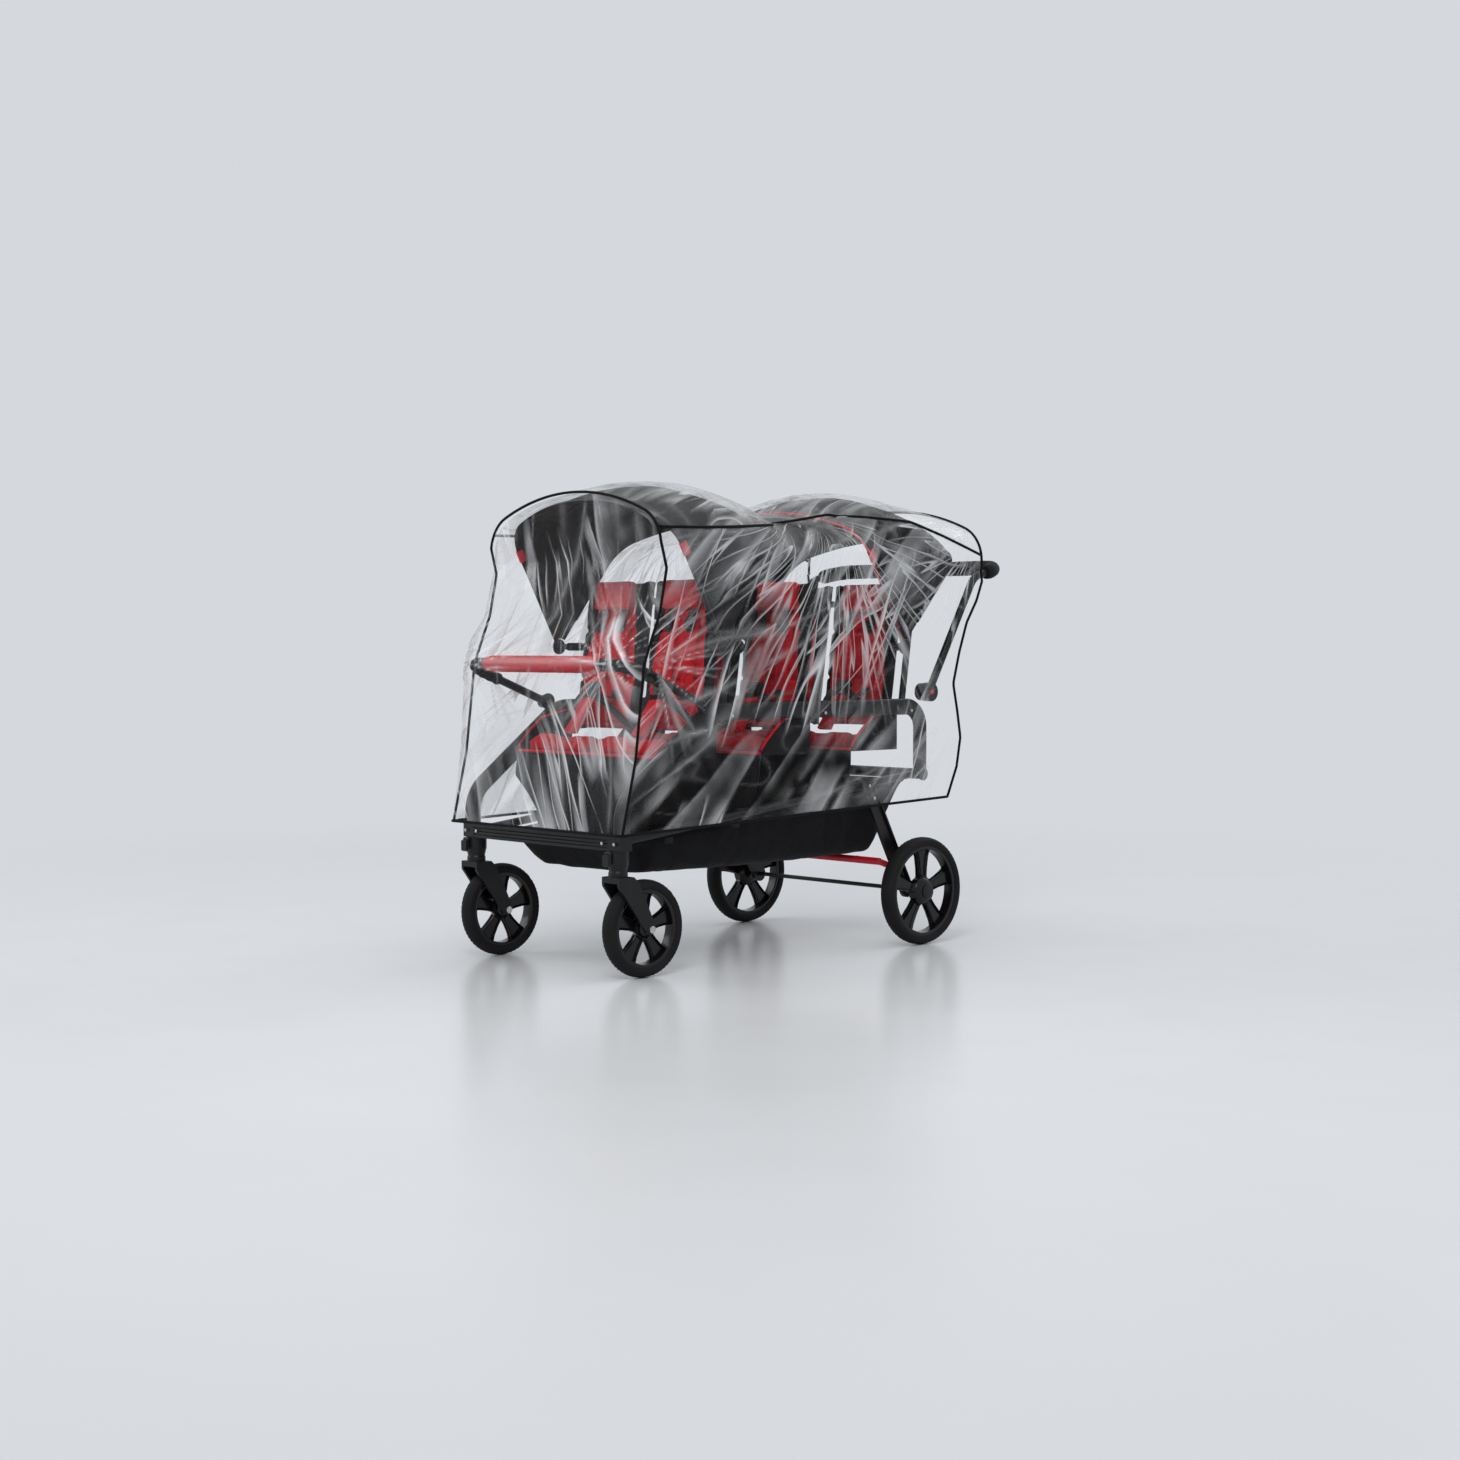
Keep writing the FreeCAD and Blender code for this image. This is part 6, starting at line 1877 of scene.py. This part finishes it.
    def seam(self, side: Side) -> list[Vector]:
        """The roof's side seam: it climbs to each hood and dips between them.

        Args:
            side: which side.

        Returns:
            Its points from the brow to the tail.
        """
        points = []
        shoulder_x = 0.2881
        for t in evenly(0.016, 1.262, 90):
            z = self.seam_height(t)
            wall = self.top(t) - shoulder_x * math.tan(HOOD_SLOPE / 2) - self.corner * math.cos(HOOD_SLOPE)
            rise = max(0.0, min(1.0, (z - wall) / self.corner))
            x = self.half - self.corner * (1 - math.sqrt(1 - rise ** 2))
            points.append(Vector(((x + 0.001) * side.value, along(t), z)))
        return points

    def piping(self) -> None:
        """Black piping along the front edges and brow, the roof seams, the hem and the rear edges."""
        lines: list[list[Vector]] = []
        for side in Side:
            x = (self.half + 0.0006) * side.value
            rear_bottom = self.bottom + self.rear_rise
            lines.append([Vector((x, along(self.side_edges(max(z, rear_bottom))[1]), max(z, rear_bottom)))
                          for z in evenly(self.bottom, self.wall_top, 60)])
            lines.append(self.seam(side))
            lines.append([Vector((x, along(-0.116 + 1.234 * u), self.bottom + self.rear_rise * u))
                          for u in evenly(0, 1, 60)])
        arch = self.arch(self.brow, 0.0, self.wall_top, 120)
        brow = [Vector((p.x, along(0.0150), p.z)) for p in arch if p.z > 1.11]
        heights = evenly(self.bottom, 1.045, 60)
        legs = [[Vector((self.half * hand, along(self.side_edges(z)[0]), z)) for z in heights]
                for hand in (-1, 1)]
        lines.append(resampled(legs[0] + brow + legs[1][::-1], 300))
        lines.append(self.front_line(self.bottom, 90))
        tail = hood_arch(self.half + self.gap, self.top(self.tail_end), self.corner, self.wall_top, 120)
        lines.append([Vector((p.x, along(self.tail_end), p.z)) for p in tail])
        pieces = [tube(line, 0.0038, Vector((0.6, 0.5, 0.62)), 8) for line in lines]
        dress(joined(pieces), "cover_piping", "rain_cover", PIPING, Face.SMOOTH)

    def build(self) -> None:
        """Make the whole cover."""
        for side in Side:
            self.side(side)
        self.front()
        self.roof()
        self.piping()


# Carried-over nodes
CARRIED: dict[Finish, tuple[str, ...]] = {
    PLASTIC: ("caster_housings", "bumper_sockets", "handle_joints", "caster_fork_left", "caster_fork_right",
              "swivel_lock_left", "swivel_lock_right"),
    TUBE: ("rear_leg_left", "rear_leg_right", "front_crossbar", "lower_rails", "rear_cross_tube",
           "seat_cross_tubes", "bumper_bar", "handle_bar", "rear_axle"),
    STEEL: ("caster_bolt_left", "caster_bolt_right"),
    RED_PLASTIC: ("brake_bar", "handle_button_left", "handle_button_right"),
}


def paint_carried() -> None:
    """Give every node that stays visible its finish."""
    for finish, names in CARRIED.items():
        for name in names:
            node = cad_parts[name]
            node.data.materials.clear()
            node.data.materials.append(finish.material())


# Studio
@dataclass
class Studio:
    """The pale floor, the soft lights and the camera."""

    seen: tuple[float, float, float] = (0.665, 0.690, 0.722)
    floor_dark: tuple[float, float, float] = (0.69, 0.705, 0.725)
    floor_pale: tuple[float, float, float] = (0.71, 0.725, 0.745)
    room: tuple[float, float, float] = (0.96, 0.98, 1.0)
    room_strength: float = 0.52
    focal_length: float = 55.16
    camera_place: tuple[float, float, float] = (4.577, -4.401, 0.85)
    camera_tilt: float = 87.824
    camera_turn: float = 46.435
    lamps: tuple = (("key", (3.4, -4.2, 4.6), 2.4, 150.0), ("fill", (-4.4, -3.2, 3.2), 3.0, 60.0),
                    ("back", (0.6, 5.2, 4.2), 3.2, 60.0), ("top", (0.2, 0.0, 5.4), 3.6, 60.0))

    def build(self) -> None:
        """Set up everything round the stroller."""
        self.floor()
        self.lights()
        self.camera()

    def floor(self) -> None:
        """A wide, slightly glossy floor that melts into the backdrop's colour far from the stroller."""
        clear_selection()
        bpy.ops.mesh.primitive_plane_add(size=120, location=(0, 0, 0))
        plane = bpy.context.object
        plane.name = "studio_floor"
        nodes = Nodes("studio_floor")
        nodes.shade(Base_Color=nodes.blend(nodes.noise(3, 2), self.floor_dark, self.floor_pale, 0.3, 0.7),
                    Roughness=0.24, Specular_IOR_Level=0.22)
        glow = nodes.add("ShaderNodeEmission", None, {"Color": (*self.seen, 1.0), "Strength": 1.0})
        away = (nodes.add("ShaderNodeVectorMath", {"operation": "LENGTH"}, {0: nodes.place()}), "Value")
        share = (nodes.add("ShaderNodeMapRange", {"interpolation_type": "SMOOTHSTEP"},
                           {"Value": away, "From Min": 1.3, "From Max": 5.0}), "Result")
        mixed = nodes.add("ShaderNodeMixShader", None, {0: share, 1: (nodes.shader, 0), 2: (glow, 0)})
        nodes.tree.links.new(mixed.outputs[0], nodes.output.inputs["Surface"])
        plane.data.materials.append(nodes.material)

    def lights(self) -> None:
        """Large soft lamps and an even world."""
        scene = bpy.context.scene
        world = bpy.data.worlds.new("studio")
        scene.world = world
        world.use_nodes = True
        tree = world.node_tree
        tree.nodes.clear()
        output = tree.nodes.new("ShaderNodeOutputWorld")
        mixer = tree.nodes.new("ShaderNodeMixShader")
        for socket, colour, strength in ((1, self.room, self.room_strength), (2, self.seen, 1.0)):
            background = tree.nodes.new("ShaderNodeBackground")
            background.inputs["Color"].default_value = (*colour, 1.0)
            background.inputs["Strength"].default_value = strength
            tree.links.new(background.outputs[0], mixer.inputs[socket])
        path = tree.nodes.new("ShaderNodeLightPath")
        seen_rays = path.outputs["Is Camera Ray"]
        for ray in ("Is Glossy Ray", "Is Transmission Ray"):
            either = tree.nodes.new("ShaderNodeMath")
            either.operation = "MAXIMUM"
            tree.links.new(seen_rays, either.inputs[0])
            tree.links.new(path.outputs[ray], either.inputs[1])
            seen_rays = either.outputs[0]
        tree.links.new(seen_rays, mixer.inputs[0])
        tree.links.new(mixer.outputs[0], output.inputs["Surface"])
        for name, place, size, power in self.lamps:
            lamp = bpy.data.lights.new(name, "AREA")
            lamp.shape, lamp.size, lamp.energy = "SQUARE", size, power
            holder = bpy.data.objects.new(name, lamp)
            holder.location = place
            holder.rotation_euler = (Vector((0, 0, 0.6)) - Vector(place)).to_track_quat("-Z", "Y").to_euler()
            scene.collection.objects.link(holder)

    def camera(self) -> None:
        """The camera at the photographed angle."""
        lens = bpy.data.cameras.new("camera")
        lens.lens, lens.sensor_width, lens.clip_end = self.focal_length, 36.0, 200.0
        holder = bpy.data.objects.new("camera", lens)
        holder.location = self.camera_place
        holder.rotation_euler = (math.radians(self.camera_tilt), 0.0, math.radians(self.camera_turn))
        bpy.context.scene.collection.objects.link(holder)
        bpy.context.scene.camera = holder


def main() -> None:
    """Build the studio and the stroller in order."""
    logging.basicConfig(level=logging.INFO, format="%(name)s %(message)s")
    bpy.context.scene.view_settings.view_transform = "Standard"
    Studio().build()
    paint_carried()
    RunningGear().build()
    FrameTubes().build()
    pads = Pads()
    seat_pad, back_pad, head_pad = pads.seat(), pads.back(), pads.head()
    for row in Row:
        SeatRow(row).build(seat_pad, back_pad, head_pad)
    discard(seat_pad, back_pad, head_pad)
    Harness().build(pads)
    for row in (Row.FRONT, Row.REAR):
        Hood(row).build()
    Basket().build()
    RainCover().build()
    clear_selection()


if __name__ == "__main__":
    main()
